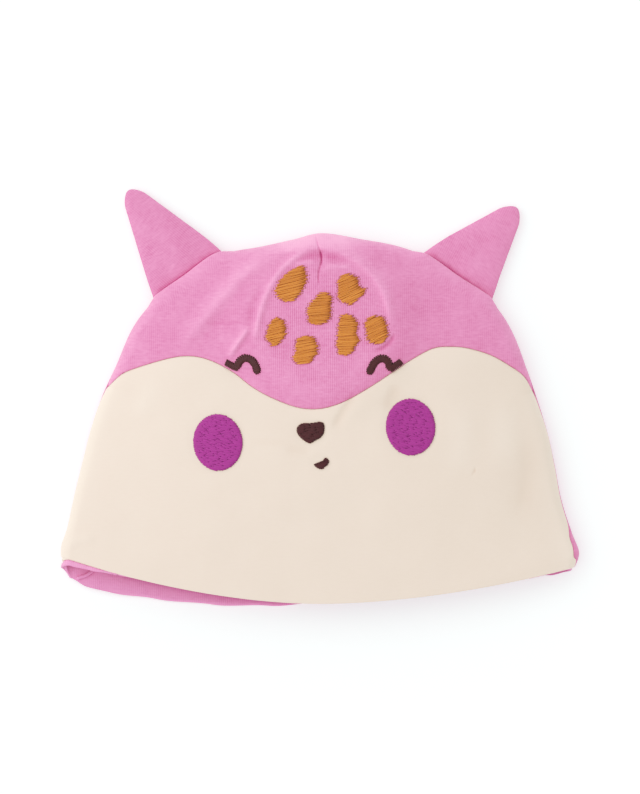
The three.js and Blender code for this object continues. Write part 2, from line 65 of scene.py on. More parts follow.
# share of the way up the side, then left and right as shares of half the hem width
outlineRows = [
    (0, 1.012, 0.996), (0.04, 1.01, 1.012), (0.1, 0.987, 0.985), (0.2, 0.958, 0.943),
    (0.3, 0.926, 0.918), (0.4, 0.893, 0.89), (0.5, 0.85, 0.85), (0.6, 0.792, 0.805),
    (0.7, 0.737, 0.754), (0.76, 0.685, 0.708), (0.8, 0.634, 0.66), (0.86, 0.527, 0.541),
    (0.93, 0.401, 0.409), (0.96, 0.222, 0.311), (0.982, 0.097, 0.163),
]
# up the side, the angle round the folded edge at which the side seam runs
seamTurnLeft = [(0, -35), (0.06, -32), (0.15, -25), (0.3, -12), (0.45, 0), (1, 0)]
seamTurnRight = [
    (0, 12), (0.018, 26), (0.036, 62), (0.08, 52), (0.145, 18), (0.3, 10), (0.45, 0), (1, 0),
]
# across the hem, shares of the back's shift and of the lining's peek
backHemRows = [
    (-1, 0.2), (-0.985, 0.64), (-0.965, 0.86), (-0.9, 1.05), (-0.8, 1.0), (-0.64, 0.79), (-0.42, 0.55),
    (-0.2, 0.28), (0, 0), (0.3, -0.14), (0.6, -0.12), (0.85, 0), (0.92, 0.15), (0.965, 0.13), (1, 0),
]
liningPeekRows = [
    (-1, 1), (-0.954, 0.88), (-0.879, 0.64), (-0.809, 0.34), (-0.767, 0.2), (-0.735, 0.08),
    (-0.71, 0), (1, 0),
]
# the widow's peak between crown and face panel, as shares across and up
peakRows = [
    (-0.837, 0.586), (-0.774, 0.618), (-0.677, 0.643), (-0.55, 0.665), (-0.479, 0.665),
    (-0.418, 0.653), (-0.336, 0.623), (-0.265, 0.585), (-0.194, 0.557), (-0.082, 0.528),
    (-0.004, 0.525), (0.071, 0.538), (0.131, 0.558), (0.22, 0.595), (0.343, 0.652),
    (0.442, 0.688), (0.502, 0.692), (0.565, 0.689), (0.668, 0.668), (0.756, 0.633),
    (0.804, 0.611), (0.839, 0.572),
]

# Soft folds in the front, each along its points. Height is of the ridge, or of a valley where it
# is negative. Widths are to the left and to the right of the way along it, fade is the share of
# its length over which it starts and ends, usualFade where it isn't given. Tone is the painted
# highlight on a ridge, or the painted shade in a crease where it is negative.
usualFade = 0.3
folds = {
    "hoodLeft": {"height": 1.55, "tone": 0.3, "widths": (3.4, 2.5), "points": [
        (-54.6, 95.2), (-52.2, 98.1), (-43.7, 108.1), (-37.2, 115.7), (-31.1, 123.1), (-24.3, 127.9),
        (-17.7, 131.7), (-13.0, 133.8)]},
    "hoodTop": {"height": 1.15, "tone": 0.22, "widths": (2.6, 1.0), "fade": 0.16, "points": [
        (-19.0, 131.0), (-13.7, 133.4), (-7.6, 134.6), (-0.4, 135.1), (4.9, 134.1), (9.7, 132.1),
        (15.7, 128.3), (20.8, 123.1), (24.3, 117.0), (26.0, 111.0), (26.9, 106.7), (26.9, 103.0)]},
    "topValley": {"height": -0.5, "tone": -0.3, "widths": (1.4, 1.5), "points": [
        (-10.4, 128.8), (-5.6, 131.5), (-0.4, 132.2), (5.0, 131.5), (10.8, 129.4)]},
    "archLeft": {"height": 1.12, "tone": 0.42, "widths": (1.0, 1.2), "fade": 0.2, "points": [
        (-25.3, 97.0), (-25.0, 99.0), (-23.9, 104.3), (-22.9, 109.3), (-20.3, 117.0), (-17.7, 122.2),
        (-15.2, 126.0), (-12.0, 129.2), (-8.6, 132.0), (-4.6, 133.9), (-0.8, 134.4)]},
    "archInner": {"height": 0.5, "tone": 0.25, "widths": (1.0, 0.8), "points": [
        (-10.6, 127.6), (-7.6, 129.0), (-4.4, 129.7), (-0.9, 129.3)]},
    "topBand": {"height": 0.0, "tone": 0.5, "widths": (3.0, 2.6), "points": [
        (-22.0, 133.4), (-12.0, 136.4), (-2.0, 138.4), (8.0, 137.2), (18.0, 133.6)]},
    "archValley": {"height": -0.52, "tone": -0.15, "widths": (1.8, 1.1), "points": [
        (-27.4, 100.8), (-26.3, 106.5), (-24.9, 112.3), (-22.7, 118.4), (-19.9, 124.0)]},
    "eyeFold": {"height": 1.3, "tone": 0.55, "widths": (1.4, 0.8), "points": [
        (-35.0, 92.4), (-34.1, 93.8), (-30.4, 99.4), (-27.2, 104.1), (-26.2, 106.6)]},
    "leftCrease": {"height": -0.14, "tone": -0.2, "widths": (0.6, 0.7), "points": [
        (-43.5, 106.3), (-35.0, 106.6), (-27.3, 106.9)]},
    "dart": {"height": -0.6, "tone": -0.36, "widths": (0.25, 0.32), "fade": 0.16, "points": [
        (-1.7, 141.0), (-1.1, 137.2), (-0.3, 134.7), (0.5, 132.4), (0.6, 130.0), (-0.3, 126.8),
        (-0.6, 123.6), (-0.1, 120.3)]},
    "dartDeep": {"height": -0.25, "tone": -0.5, "widths": (0.3, 0.4), "fade": 0.25, "points": [
        (-0.2, 134.4), (0.35, 132.6), (0.6, 130.4), (0.3, 128.0)]},
    "dartSides": {"height": -0.3, "tone": 0.0, "widths": (2.4, 2.4), "points": [
        (-1.7, 141.0), (-0.3, 134.7), (0.3, 128.0), (-0.1, 121.3)]},
    "dartRight": {"height": 0.56, "tone": 0.3, "widths": (1.2, 0.8), "points": [
        (0.4, 126.2), (2.7, 127.3), (8.7, 127.8), (13.0, 127.4)]},
    "underSpot": {"height": -1.05, "tone": -0.34, "widths": (0.8, 0.6), "points": [
        (28.5, 103.2), (27.0, 100.1), (25.1, 98.1), (22.8, 96.7), (19.6, 96.0)]},
    "peakCrease": {"height": -0.6, "tone": -0.25, "widths": (2.2, 1.1), "points": [
        (14.2, 81.6), (11.6, 77.6), (8.7, 73.2), (5.9, 68.2), (4.2, 64.8)]},
    "rightValley": {"height": -0.5, "tone": -0.2, "widths": (4.6, 3.4), "fade": 0.4, "points": [
        (76.0, 71.2), (78.7, 56.4), (78.7, 46.2), (76.4, 36.4), (73.1, 26.2)]},
    "rightBand": {"height": 0.3, "tone": 0.2, "widths": (6.0, 5.0), "fade": 0.4, "points": [
        (71.6, 82.2), (69.6, 62.1), (68.5, 46.9)]},
    "cheekBand": {"height": 0.35, "tone": 0.2, "widths": (5.0, 5.0), "fade": 0.4, "points": [
        (51.6, 80.2), (54.6, 62.1), (48.5, 46.9)]},
    "leftBand": {"height": 0.35, "tone": 0.15, "widths": (4.0, 4.0), "fade": 0.35, "points": [
        (-61.6, 87.0), (-66.1, 77.3), (-69.2, 67.8)]},
    "cheekPucker": {"height": -0.5, "tone": -0.3, "widths": (3.4, 2.2), "points": [
        (30.4, 83.4), (28.2, 80.4), (26.4, 76.6), (25.0, 72.2)]},
    "noseCheek": {"height": -0.14, "tone": -0.15, "widths": (0.9, 1.2), "points": [
        (-26.6, 61.8), (-19.0, 61.4), (-10.3, 61.4)]},
    "mouthLeft": {"height": -0.22, "tone": -0.2, "widths": (2.2, 1.8), "points": [
        (-13.9, 58.3), (-7.6, 58.3), (-2.7, 57.2)]},
    "cornerFold": {"height": 0.4, "tone": 0.1, "widths": (2.4, 1.6), "points": [
        (-97.5, 20.6), (-92.0, 23.8), (-84.5, 24.6)]},
    "tinyDent": {"height": -0.3, "tone": -0.6, "widths": (0.8, 0.8), "fade": 0.05, "points": [
        (57.9, 50.6), (58.7, 49.8)]},
}
panels = {
    "seamAngle": 0.012,       # half the gap at the side seams, as an angle round the fold
    "seamGap": 0.03,          # and at the seam of the widow's peak
    "peakRoll": (1.1, 0.75),  # width and depth of the rolled edges beside that seam
    "sideRoll": (0.9, 0.55),
    "hemRoll": 0.45,
    "peakValley": 0.28,       # the soft valley round the seam
    "faceStep": 0.22,         # how far the face panel lies below the crown there
    "edgeSheenPaint": 0.25,         # how much paler the cloth is painted along the crown's edge, a painted sheen where it turns away
    "columns": 128,
    # steps between the rows of the mesh, beside each edge
    "seamSteps": [0.12, 0.2, 0.3, 0.4, 0.6],
    "peakSteps": [0.1, 0.14, 0.2, 0.3, 0.45, 0.7],
    "hemSteps": [0.08, 0.14, 0.25, 0.4, 0.6],
    "backHemSteps": [0.1, 0.2, 0.35, 0.5],
}
ear = {
    "base": 33.0, "height": 40.0, "thickness": 4.4, "rootThickness": 1.5, "tipRadius": 3.2,
    "thinning": 0.35, "flare": 0.3, "tuck": 0.9, "clearance": 0.3, "hollow": 0.3,
    "overhang": 1.2,          # how far the crown's edge stands out over the foot
    "paintedShading": 2.3, "creaseFrom": 1.0, "creaseReach": 0.75,  # painted shade along it, in the crease under that edge
}
earPlaces = [
    {"name": "ear_left", "along": 0.342, "lean": -2, "size": 1.0},
    {"name": "ear_right", "along": 0.65, "lean": -6, "size": 0.89},
]
# the stitched forehead is stiffer and stands over the cloth round it
forehead = {"middle": (1.0, 108.0), "half": (25.0, 27.0), "reach": 0.75, "height": 2.6, "tone": 0.12}
# places where the stitching draws the cloth in: x, y, half width, half height
drawnIn = [
    (-38.6, 61.3, 9.9, 11.2), (34.2, 67.1, 9.8, 11.2), (-3.6, 65.0, 5.4, 4.2), (0.6, 53.3, 3.1, 2.3),
]


def smoothLine(points, count, closed=False):
    # evenly spaced places on a smooth curve through the points
    p = np.array(points, float)
    if closed:
        p = np.vstack([p[-1], p, p[0], p[1]])
    else:
        p = np.vstack([2 * p[0] - p[1], p, 2 * p[-1] - p[-2]])
    parts = []
    t = np.linspace(0, 1, 24, endpoint=False)[:, None]
    for a, b, c, d in zip(p, p[1:], p[2:], p[3:]):
        ab, bc, cd = (math.sqrt(max(1e-6, np.linalg.norm(v))) for v in (b - a, c - b, d - c))
        start = ((b - a) / ab - (c - a) / (ab + bc) + (c - b) / bc) * bc
        end = ((c - b) / bc - (d - b) / (bc + cd) + (d - c) / cd) * bc
        bend, twist = 3 * (c - b) - 2 * start - end, 2 * (b - c) + start + end
        parts.append(b + start * t + bend * t**2 + twist * t**3)
    line = np.vstack([*parts, p[-2]])
    run = np.concatenate([[0], np.cumsum(np.linalg.norm(np.diff(line, axis=0), axis=1))])
    even = np.linspace(0, run[-1], count + 1 if closed else count)
    line = np.column_stack([np.interp(even, run, line[:, k]) for k in range(line.shape[1])])
    return line[:-1] if closed else line


def eased(share):
    return share * share * (3 - 2 * share)


def tableValue(rows, at):
    keys, values = np.array(rows, float).T
    at = np.clip(at, keys[0], keys[-1])
    after = np.clip(np.searchsorted(keys, at), 1, len(keys) - 1)
    share = (at - keys[after - 1]) / (keys[after] - keys[after - 1])
    return values[after - 1] + (values[after] - values[after - 1]) * eased(share)


half = hat["hemWidth"] / 2
leftSide = [(-left * half, hat["hemRiseLeft"] + (hat["height"] - hat["hemRiseLeft"]) * up)
            for up, left, right in outlineRows]
rightSide = [(right * half, hat["hemRiseRight"] + (hat["height"] - hat["hemRiseRight"]) * up)
             for up, left, right in outlineRows]
rim = smoothLine([*leftSide, (0, hat["height"]), *reversed(rightSide)], 2001)
rimLength = np.linalg.norm(np.diff(rim, axis=0), axis=1).sum()
rimWay = np.gradient(rim, axis=0)
rimWay /= np.linalg.norm(rimWay, axis=1)[:, None]
leftCorner, rightCorner = -rim[0, 0], rim[-1, 0]
# the ways in from the edge turn slowly, so that the lines of the cloth never cross
reachIn = np.arange(-240, 241)
blur = np.exp(-(reachIn / 80) ** 2)
rimTurn = np.unwrap(np.arctan2(rimWay[:, 1], rimWay[:, 0]))
rimTurn = np.convolve(np.pad(rimTurn, 240, mode="edge"), blur / blur.sum(), mode="valid")
rimTurn = np.column_stack([np.cos(rimTurn), np.sin(rimTurn)])


def hemRise(x):
    return np.where(x < 0, hat["hemRiseLeft"], hat["hemRiseRight"])


def hemShare(x):
    # from -1 at the left corner of the hem to 1 at the right one
    return x / np.where(x < 0, leftCorner, rightCorner)


def hemLine(x):
    return hemRise(x) * np.abs(hemShare(x)) ** hat["hemCurve"]


rimAbove = np.maximum(0, rim[:, 1] - hemLine(rim[:, 0]))
rimAngle = -np.arctan2(rimAbove, rim[:, 0])
rimReach = np.hypot(rim[:, 0], rimAbove)
peakLine = smoothLine([(a * half, b * hat["height"]) for a, b in peakRows], 121)


def nearLine(x, y, line, runOn=False):
    # distance to a line, positive on its left, and the share along it
    best = np.full(x.shape, 1e9)
    side = np.zeros(x.shape)
    along = np.zeros(x.shape)
    last = len(line) - 2
    for k, (start, end) in enumerate(zip(line, line[1:])):
        way = end - start
        offX, offY = x - start[0], y - start[1]
        share = (offX * way[0] + offY * way[1]) / (way @ way)
        share = np.clip(share, -1e9 if runOn and k == 0 else 0, 1e9 if runOn and k == last else 1)
        gapX, gapY = offX - share * way[0], offY - share * way[1]
        gap = np.hypot(gapX, gapY)
        near = gap < best
        best = np.where(near, gap, best)
        side = np.where(near, np.sign(way[0] * gapY - way[1] * gapX), side)
        along = np.where(near, (k + share) / (last + 1), along)
    return best * np.where(side == 0, 1, side), along


for fold in folds.values():
    fold["line"] = smoothLine(fold["points"], 3 + 2 * len(fold["points"]))


def foldShares(x, y):
    # how much of each fold there is at each place
    for fold in folds.values():
        reach = 3 * max(fold["widths"])
        low, high = fold["line"].min(0) - reach, fold["line"].max(0) + reach
        near = (x > low[0]) & (x < high[0]) & (y > low[1]) & (y < high[1])
        if near.any():
            gap, along = nearLine(x[near], y[near], fold["line"])
            width = np.where(gap > 0, *fold["widths"])
            ends = np.clip(np.minimum(along, 1 - along) / fold.get("fade", usualFade), 0, 1)
            yield fold, near, np.exp(-(gap / width) ** 2) * eased(ends)


def foreheadShare(x, y, start, reach):
    # 1 inside the forehead, going to 0 from start on, both as shares of its half sizes
    middle, half = forehead["middle"], forehead["half"]
    out = np.hypot((x - middle[0]) / half[0], (y - middle[1]) / half[1])
    return 1 - eased(np.clip((out - start) / reach, 0, 1))


def foldsAt(x, y):
    height = np.zeros(x.shape)
    for fold, near, share in foldShares(x, y):
        height[near] += fold["height"] * share
    height += forehead["height"] * foreheadShare(x, y, 0.9, forehead["reach"])
    for cx, cy, wide, high in drawnIn:
        edge = (np.hypot((x - cx) / wide, (y - cy) / high) - 1) * (wide + high) / 2
        height -= 0.22 * np.exp(-(edge / 1.3) ** 2)
    # slow unevenness of soft cloth that lies by itself
    height += 0.16 * np.sin(x / 8.1 + 1.2 * np.sin(y / 13)) * np.sin(y / 10.3 + x / 31 + 0.6)
    height += 0.1 * np.sin(x / 4.7 - y / 6.1 + 2.1) * np.sin(y / 7.9 + x / 12 + 1.9)
    return height


def paintedShading(x, y):
    # painted highlights on the fold ridges and painted shade in the creases, and a little deeper in colour over the
    # stitched forehead
    tone = np.zeros(x.shape)
    for fold, near, share in foldShares(x, y):
        tone[near] += fold["tone"] * share
    tone -= forehead["tone"] * foreheadShare(x, y, 0.8, 0.3)
    return tone


def fullness(x, above):
    climb = np.clip(above / (hat["fullestShare"] * hat["height"]), 0, 1)
    dome = hat["hemFullness"] + (hat["crownFullness"] - hat["hemFullness"]) * np.sin(climb * math.pi / 2)
    reach = np.interp(-np.arctan2(np.maximum(0, above), x), rimAngle, rimReach)
    share = np.minimum(1, np.hypot(x, above) / reach)
    return dome * (1 - share**hat["domeRound"])


def frontHeight(x, y):
    # height of the outside of the front at a place in the plan
    return 2 * hat["edgeRadius"] + fullness(x, y - hemLine(x)) + foldsAt(x, y)


def stationsAt(shares):
    # places along the folded edge, with the way in from each
    at = np.asarray(shares) * (len(rim) - 1)
    x, y, wayX, wayY = (np.interp(at, np.arange(len(rim)), column) for column in (*rim.T, *rimTurn.T))
    above = np.maximum(0, y - hemLine(x))
    slope = hemLine(x + 0.5) - hemLine(x - 0.5)
    level = np.minimum(1, above / hat["hemShiftReach"])
    up = (y - hemRise(x)) / (hat["height"] - hemRise(x))
    turn = np.where(x < 0, tableValue(seamTurnLeft, up), tableValue(seamTurnRight, up))
    square = np.ones(len(at))
    for one in earPlaces:  # the crown stands over the ears in a firmer edge
        beside = np.abs(np.asarray(shares) - one["along"]) * rimLength / (0.5 * ear["base"])
        square -= 0.5 * np.clip((1.2 - beside) / 0.3, 0, 1)
    station = {
        "share": np.asarray(shares), "x": x, "above": above, "inX": wayY,
        "inAbove": (-wayX - slope * wayY) * level,
        "hemX": hat["hemSpread"] * half * (2 * np.asarray(shares) - 1),
        "turn": np.radians(turn), "square": square,
    }
    return {name: column[:, None] for name, column in station.items()}


def hemDown(x, turn):
    # how far the cloth stands down below the line of the front hem, more and more towards the back
    return hat["backHemShift"] * tableValue(backHemRows, hemShare(x)) * (1 - np.sin(turn)) / 2


def skin(station, turn, inward, depth=0.0, peek=0.0, front=True):
    # a place on the cloth: turn goes round the folded edge, inward from there to the hem
    radius = hat["edgeRadius"] - depth
    square = np.where(turn > 0, station["square"], 1.0) if front else 1.0
    inset = hat["edgeRadius"] - radius * np.abs(np.cos(turn)) ** square
    # the crown's edge hangs a little over the foot of each ear
    over = np.clip(turn / 0.22, 0, 1) * np.clip((1.3 - turn) / 0.9, 0, 1)
    inset = inset - ear["overhang"] * (1 - square) * 2 * eased(over)
    x = station["x"] + station["inX"] * inset
    above = station["above"] + station["inAbove"] * inset
    reach = 0.3 * np.hypot(station["hemX"] - x, above)
    middleX = x + station["inX"] * reach
    middleAbove = np.maximum(0, above + station["inAbove"] * reach)
    first, middle, last = (1 - inward) ** 2, 2 * inward * (1 - inward), inward**2
    x = first * x + middle * middleX + last * station["hemX"]
    above = first * above + middle * middleAbove
    sine = np.sin(turn)
    frontShare = (1 + sine) / 2
    down = hemDown(x, turn) + peek * tableValue(liningPeekRows, hemShare(x)) * np.sqrt(frontShare)
    y = hemLine(x) + above - down * np.exp(-above / hat["hemShiftReach"])
    rise = radius * np.sign(sine) * np.abs(sine) ** square
    lift = np.maximum(0, sine) * (fullness(x, y - hemLine(x)) + foldsAt(x, y))
    return x, y, hat["edgeRadius"] + rise + lift


def spread(lengths, first, last, middleCount):
    # places along lines of these lengths, closer together at both ends
    first, last = np.array(first), np.array(last[::-1])
    fine = first.sum() + last.sum()
    scale = np.minimum(1, 0.6 * lengths / fine)[:, None]
    middle = (lengths[:, None] - scale * fine) / middleCount
    steps = np.hstack([scale * first, np.repeat(middle, middleCount, axis=1), scale * last])
    return np.hstack([np.zeros((len(lengths), 1)), np.cumsum(steps, axis=1)])


def deselectAll():
    if bpy.context.object and bpy.context.object.mode != "OBJECT":
        bpy.ops.object.mode_set(mode="OBJECT")
    bpy.ops.object.select_all(action="DESELECT")


def inFrame(x, y, z):
    # plan millimetres to the frame's metres
    return np.column_stack([x + hat["middle"][0], y + hat["middle"][1], z]) * mm


def vertexPlaces(piece):
    place = np.empty(len(piece.data.vertices) * 3)
    piece.data.vertices.foreach_get("co", place)
    return place.reshape(-1, 3)


def putVertices(piece, x, y, z):
    piece.data.vertices.foreach_set("co", inFrame(x, y, z).ravel())


def putMap(piece, u, v):
    # the cloth laid flat, in millimetres for each vertex
    corner = np.empty(len(piece.data.loops), int)
    piece.data.loops.foreach_get("vertex_index", corner)
    flat = np.column_stack([u, v]) * mm
    piece.data.uv_layers.active.data.foreach_set("uv", flat[corner].ravel())


def putLevel(piece, label, values):
    # a number for each vertex, for the materials
    level = piece.data.attributes.new(label, "FLOAT", "POINT")
    level.data.foreach_set("value", np.zeros(len(piece.data.vertices)) + values)


def clothSheet(name, place, uv, thickness, flip, shadingPaint=None, stretch=None):
    # a grid laid over the skin and given its thickness away from it
    rows, columns = place[0].shape
    deselectAll()
    bpy.ops.mesh.primitive_grid_add(x_subdivisions=columns - 1, y_subdivisions=rows - 1, size=1)
    piece = bpy.context.object
    piece.name = name
    spot = vertexPlaces(piece)
    column = np.rint((spot[:, 0] + 0.5) * (columns - 1)).astype(int)
    row = np.rint((spot[:, 1] + 0.5) * (rows - 1)).astype(int)
    putVertices(piece, *(values[row, column] for values in place))
    putMap(piece, *(values[row, column] for values in uv))
    for label, values in (("shadingPaint", shadingPaint), ("stretch", stretch)):
        putLevel(piece, label, 0 if values is None else values[row, column])
    piece.data.update()
    if flip:
        bpy.ops.object.mode_set(mode="EDIT")
        bpy.ops.mesh.select_all(action="SELECT")
        bpy.ops.mesh.flip_normals()
        bpy.ops.object.mode_set(mode="OBJECT")
    bpy.ops.object.modifier_add(type="SOLIDIFY")
    wall = piece.modifiers[-1]
    wall.thickness = thickness * mm
    wall.offset = -1
    bpy.ops.object.modifier_apply(modifier=wall.name)
    bpy.ops.object.shade_smooth()
    return piece


def ringedCylinder(sides, cuts):
    # a cylinder along X, one unit long, with rings along it
    deselectAll()
    bpy.ops.mesh.primitive_cylinder_add(vertices=sides, radius=1, depth=1, rotation=(0, math.pi / 2, 0))
    bpy.ops.object.transform_apply(location=False, rotation=True, scale=False)
    piece = bpy.context.object
    bpy.ops.object.mode_set(mode="EDIT")
    bpy.ops.mesh.select_mode(type="EDGE")
    bpy.ops.mesh.select_all(action="DESELECT")
    bpy.ops.object.mode_set(mode="OBJECT")
    for edge in piece.data.edges:
        a, b = (piece.data.vertices[k].co for k in edge.vertices)
        edge.select = abs(a.x - b.x) > 0.5
    bpy.ops.object.mode_set(mode="EDIT")
    bpy.ops.mesh.subdivide(number_cuts=cuts)
    bpy.ops.object.mode_set(mode="OBJECT")
    bpy.ops.object.shade_smooth()
    return piece


def roll(distance, width, depth):
    # the edge of a panel rolls away in a quarter round
    share = np.clip(1 - distance / width, 0, 1)
    return depth * (1 - np.sqrt(1 - share**2))


def frontTurn(station, t):
    # t is 0 at the side seam, 4 where the folded edge ends and 11 at the front hem
    start = station["turn"] + panels["seamAngle"]
    return start + (math.pi / 2 - start) * np.minimum(1, t / 4), np.maximum(0, (t - 4) / 7)


def backTurn(station, t):
    # t is 0 at the side seam, 4 where the back lies flat and 7 at the back hem
    start = station["turn"] - panels["seamAngle"]
    return start + (-math.pi / 2 - start) * np.minimum(1, t / 4), np.maximum(0, (t - 4) / 3)


def measured(x, y, z):
    steps = np.sqrt(np.diff(x) ** 2 + np.diff(y) ** 2 + np.diff(z) ** 2)
    return np.hstack([np.zeros((len(x), 1)), np.cumsum(steps, axis=1)])


def atLengths(t, run, wanted):
    # the values of t at which the lines reach the wanted lengths
    return np.array([np.interp(want, line, t) for want, line in zip(wanted, run)])


def unfolded(station, turn, inward, x, y):
    # the cloth laid flat, for the knit's columns and rows
    arc = hat["edgeRadius"] * (math.pi / 2 - np.abs(turn))
    across = station["x"] + station["inX"] * (hat["edgeRadius"] - arc)
    up = hemLine(station["x"]) + station["above"] + station["inAbove"] * (hat["edgeRadius"] - arc)
    return np.where(inward > 0, x, across), np.where(inward > 0, y, up)


def sharesBetween(start, end, first, last, count):
    length = np.array([(end - start) * rimLength])
    return start + spread(length, first, last, count)[0] / rimLength


def linear(colour):
    # an sRGB hex value as a linear colour
    parts = [int(colour[k:k + 2], 16) / 255 for k in (1, 3, 5)]
    return [p / 12.92 if p <= 0.04045 else ((p + 0.055) / 1.055) ** 2.4 for p in parts] + [1]


def addNode(tree, kind, settings=(), links=()):
    # a node with its settings, by name or by socket number, and what goes into its sockets
    node = tree.nodes.new(kind)
    for key, value in dict(settings).items():
        if isinstance(key, int) or key in node.inputs:
            node.inputs[key].default_value = value
        else:
            setattr(node, key, value)
    for key, socket in dict(links).items():
        tree.links.new(socket, node.inputs[key])
    return node


def addMath(tree, operation, *values):
    # a math node with numbers or other nodes' sockets as its inputs
    node = addNode(tree, "ShaderNodeMath", {"operation": operation})
    for socket, value in zip(node.inputs, values):
        if isinstance(value, float):
            socket.default_value = value
        else:
            tree.links.new(value, socket)
    return node.outputs[0]


def newMaterial(name):
    material = bpy.data.materials.new(name)
    material.use_nodes = True
    material.node_tree.nodes.clear()
    return material, material.node_tree


waveUnit = 0.1 * math.pi  # scale at which the wave texture's bands are a metre apart


# Cotton interlock jersey, piece dyed and softly brushed by washing: fine upright columns of
# stitches, matt, with a light bloom where it turns away, short flecks along the rows and a
# little cloudiness where the dye took more or less.
jersey = {
    "column": 0.0008,     # between knit columns, in metres
    "row": 0.00062,       # between knit rows
    "fleck": (0.0026, 0.0008),
    "cloud": 0.009,
    "closed": 0.12,       # how far the columns stand open where the fibres close them,
    "opened": 0.55,       # where they don't, and how much further where the cloth is stretched
    "rowShare": 0.06,
    "fleckRelief": 0.9,
    "deepest": 1.35,      # the deepest painted crease shade goes beyond the darker of the two colours
    "roughness": 0.88,
    "sheen": 0.22,
    "pink": ("#fc9ec9", "#cf6997"),
    "cream": ("#f7e5d1", "#e6ccb7"),
    "lining": ("#ffa9d3", "#df80b0"),
}


def jerseyMaterial(name, colours, knitDepth, knitTone, cloudTone):
    material, tree = newMaterial(name)
    place = addNode(tree, "ShaderNodeTexCoord").outputs
    # the columns, rows and flecks follow the cloth by its own map
    column = addNode(tree, "ShaderNodeTexWave", {
        "wave_type": "BANDS", "bands_direction": "X", "Scale": waveUnit / jersey["column"],
        "Distortion": 1.5, "Detail": 2.0, "Detail Scale": 2.5}, {"Vector": place["UV"]})
    row = addNode(tree, "ShaderNodeTexWave", {
        "wave_type": "BANDS", "bands_direction": "Y", "Scale": waveUnit / jersey["row"],
        "Distortion": 1.2, "Detail": 1.0, "Detail Scale": 2.0}, {"Vector": place["UV"]})
    long, high = jersey["fleck"]
    drawn = addNode(tree, "ShaderNodeMapping", {"Scale": (1 / long, 1 / high, 1 / high)},
                    {"Vector": place["UV"]})
    fleck = addNode(tree, "ShaderNodeTexNoise", {"Scale": 1.0, "Detail": 2.0, "Roughness": 0.6},
                    {"Vector": drawn.outputs["Vector"]}).outputs["Fac"]
    cloud = addNode(tree, "ShaderNodeTexNoise", {
        "Scale": 1 / jersey["cloud"], "Detail": 3.0, "Roughness": 0.6},
        {"Vector": place["Object"]}).outputs["Fac"]
    # in some places the columns stand open, in others the brushed fibres close them
    patch = addNode(tree, "ShaderNodeMapRange", {
        "From Min": 0.35, "From Max": 0.65, "To Min": jersey["closed"], "To Max": jersey["opened"]},
        {"Value": cloud})
    # and where the cloth is stretched over the stitching they stand open everywhere
    stretch = addNode(tree, "ShaderNodeAttribute", {"attribute_name": "stretch"})
    opened = addMath(tree, "MULTIPLY_ADD", stretch.outputs["Fac"], jersey["opened"], patch.outputs[0])
    rows = addMath(tree, "MULTIPLY", row.outputs["Fac"], jersey["rowShare"])
    weave = addMath(tree, "ADD", column.outputs["Fac"], rows)
    knit = addMath(tree, "MULTIPLY", weave, opened)
    relief = addMath(tree, "MULTIPLY_ADD", fleck, jersey["fleckRelief"], knit)
    bump = addNode(tree, "ShaderNodeBump", {"Strength": 1.0, "Distance": knitDepth}, {"Height": relief})
    # the gaps between the columns are painted deeper in colour, as the shade in them
    gaps = addMath(tree, "MULTIPLY_ADD", knit, -knitTone, 0.5 + 0.45 * knitTone)
    flecks = addMath(tree, "MULTIPLY_ADD", fleck, 2 * cloudTone, -cloudTone)
    clouds = addMath(tree, "MULTIPLY_ADD", cloud, 2.4 * cloudTone, -1.2 * cloudTone)
    total = addMath(tree, "ADD", addMath(tree, "ADD", flecks, clouds), gaps)
    # painted highlights and painted shade carried by the cloth: fold ridges and creases, the folded edge, under the
    # front hem, seam welts, ear creases
    shadingPaint = addNode(tree, "ShaderNodeAttribute", {"attribute_name": "shadingPaint"})
    knitAndShading = addMath(tree, "SUBTRACT", total, shadingPaint.outputs["Fac"])
    amount = addNode(tree, "ShaderNodeMapRange", {
        "From Max": jersey["deepest"], "To Max": jersey["deepest"]}, {"Value": knitAndShading})
    colour = addNode(tree, "ShaderNodeMix", {
        "data_type": "RGBA", "clamp_factor": False, 6: linear(colours[0]), 7: linear(colours[1])},
        {0: amount.outputs[0]})
    cloth = addNode(tree, "ShaderNodeBsdfPrincipled", {
        "Roughness": jersey["roughness"], "IOR": 1.5, "Specular IOR Level": 0.15,
        "Sheen Weight": jersey["sheen"], "Sheen Roughness": 0.45},
        {"Base Color": colour.outputs[2], "Normal": bump.outputs["Normal"]})
    addNode(tree, "ShaderNodeOutputMaterial", {}, {"Surface": cloth.outputs["BSDF"]})
    return material


# Viscose embroidery thread, two plies twisted: smooth and softly shiny along its top, with painted
# shade where it dives into the cloth.
threads = {
    "twist": 0.0011,      # length of one turn of the plies, in metres
    "roughness": 0.42,
    "purple": ("#a3308a", "#95297c"),
    "brown": ("#45191c", "#341315"),
    "ochre": ("#d98335", "#a4591f"),
    # painted shade for the needle holes
    "hole": ("#bb6680", "#9c4c64"),
}


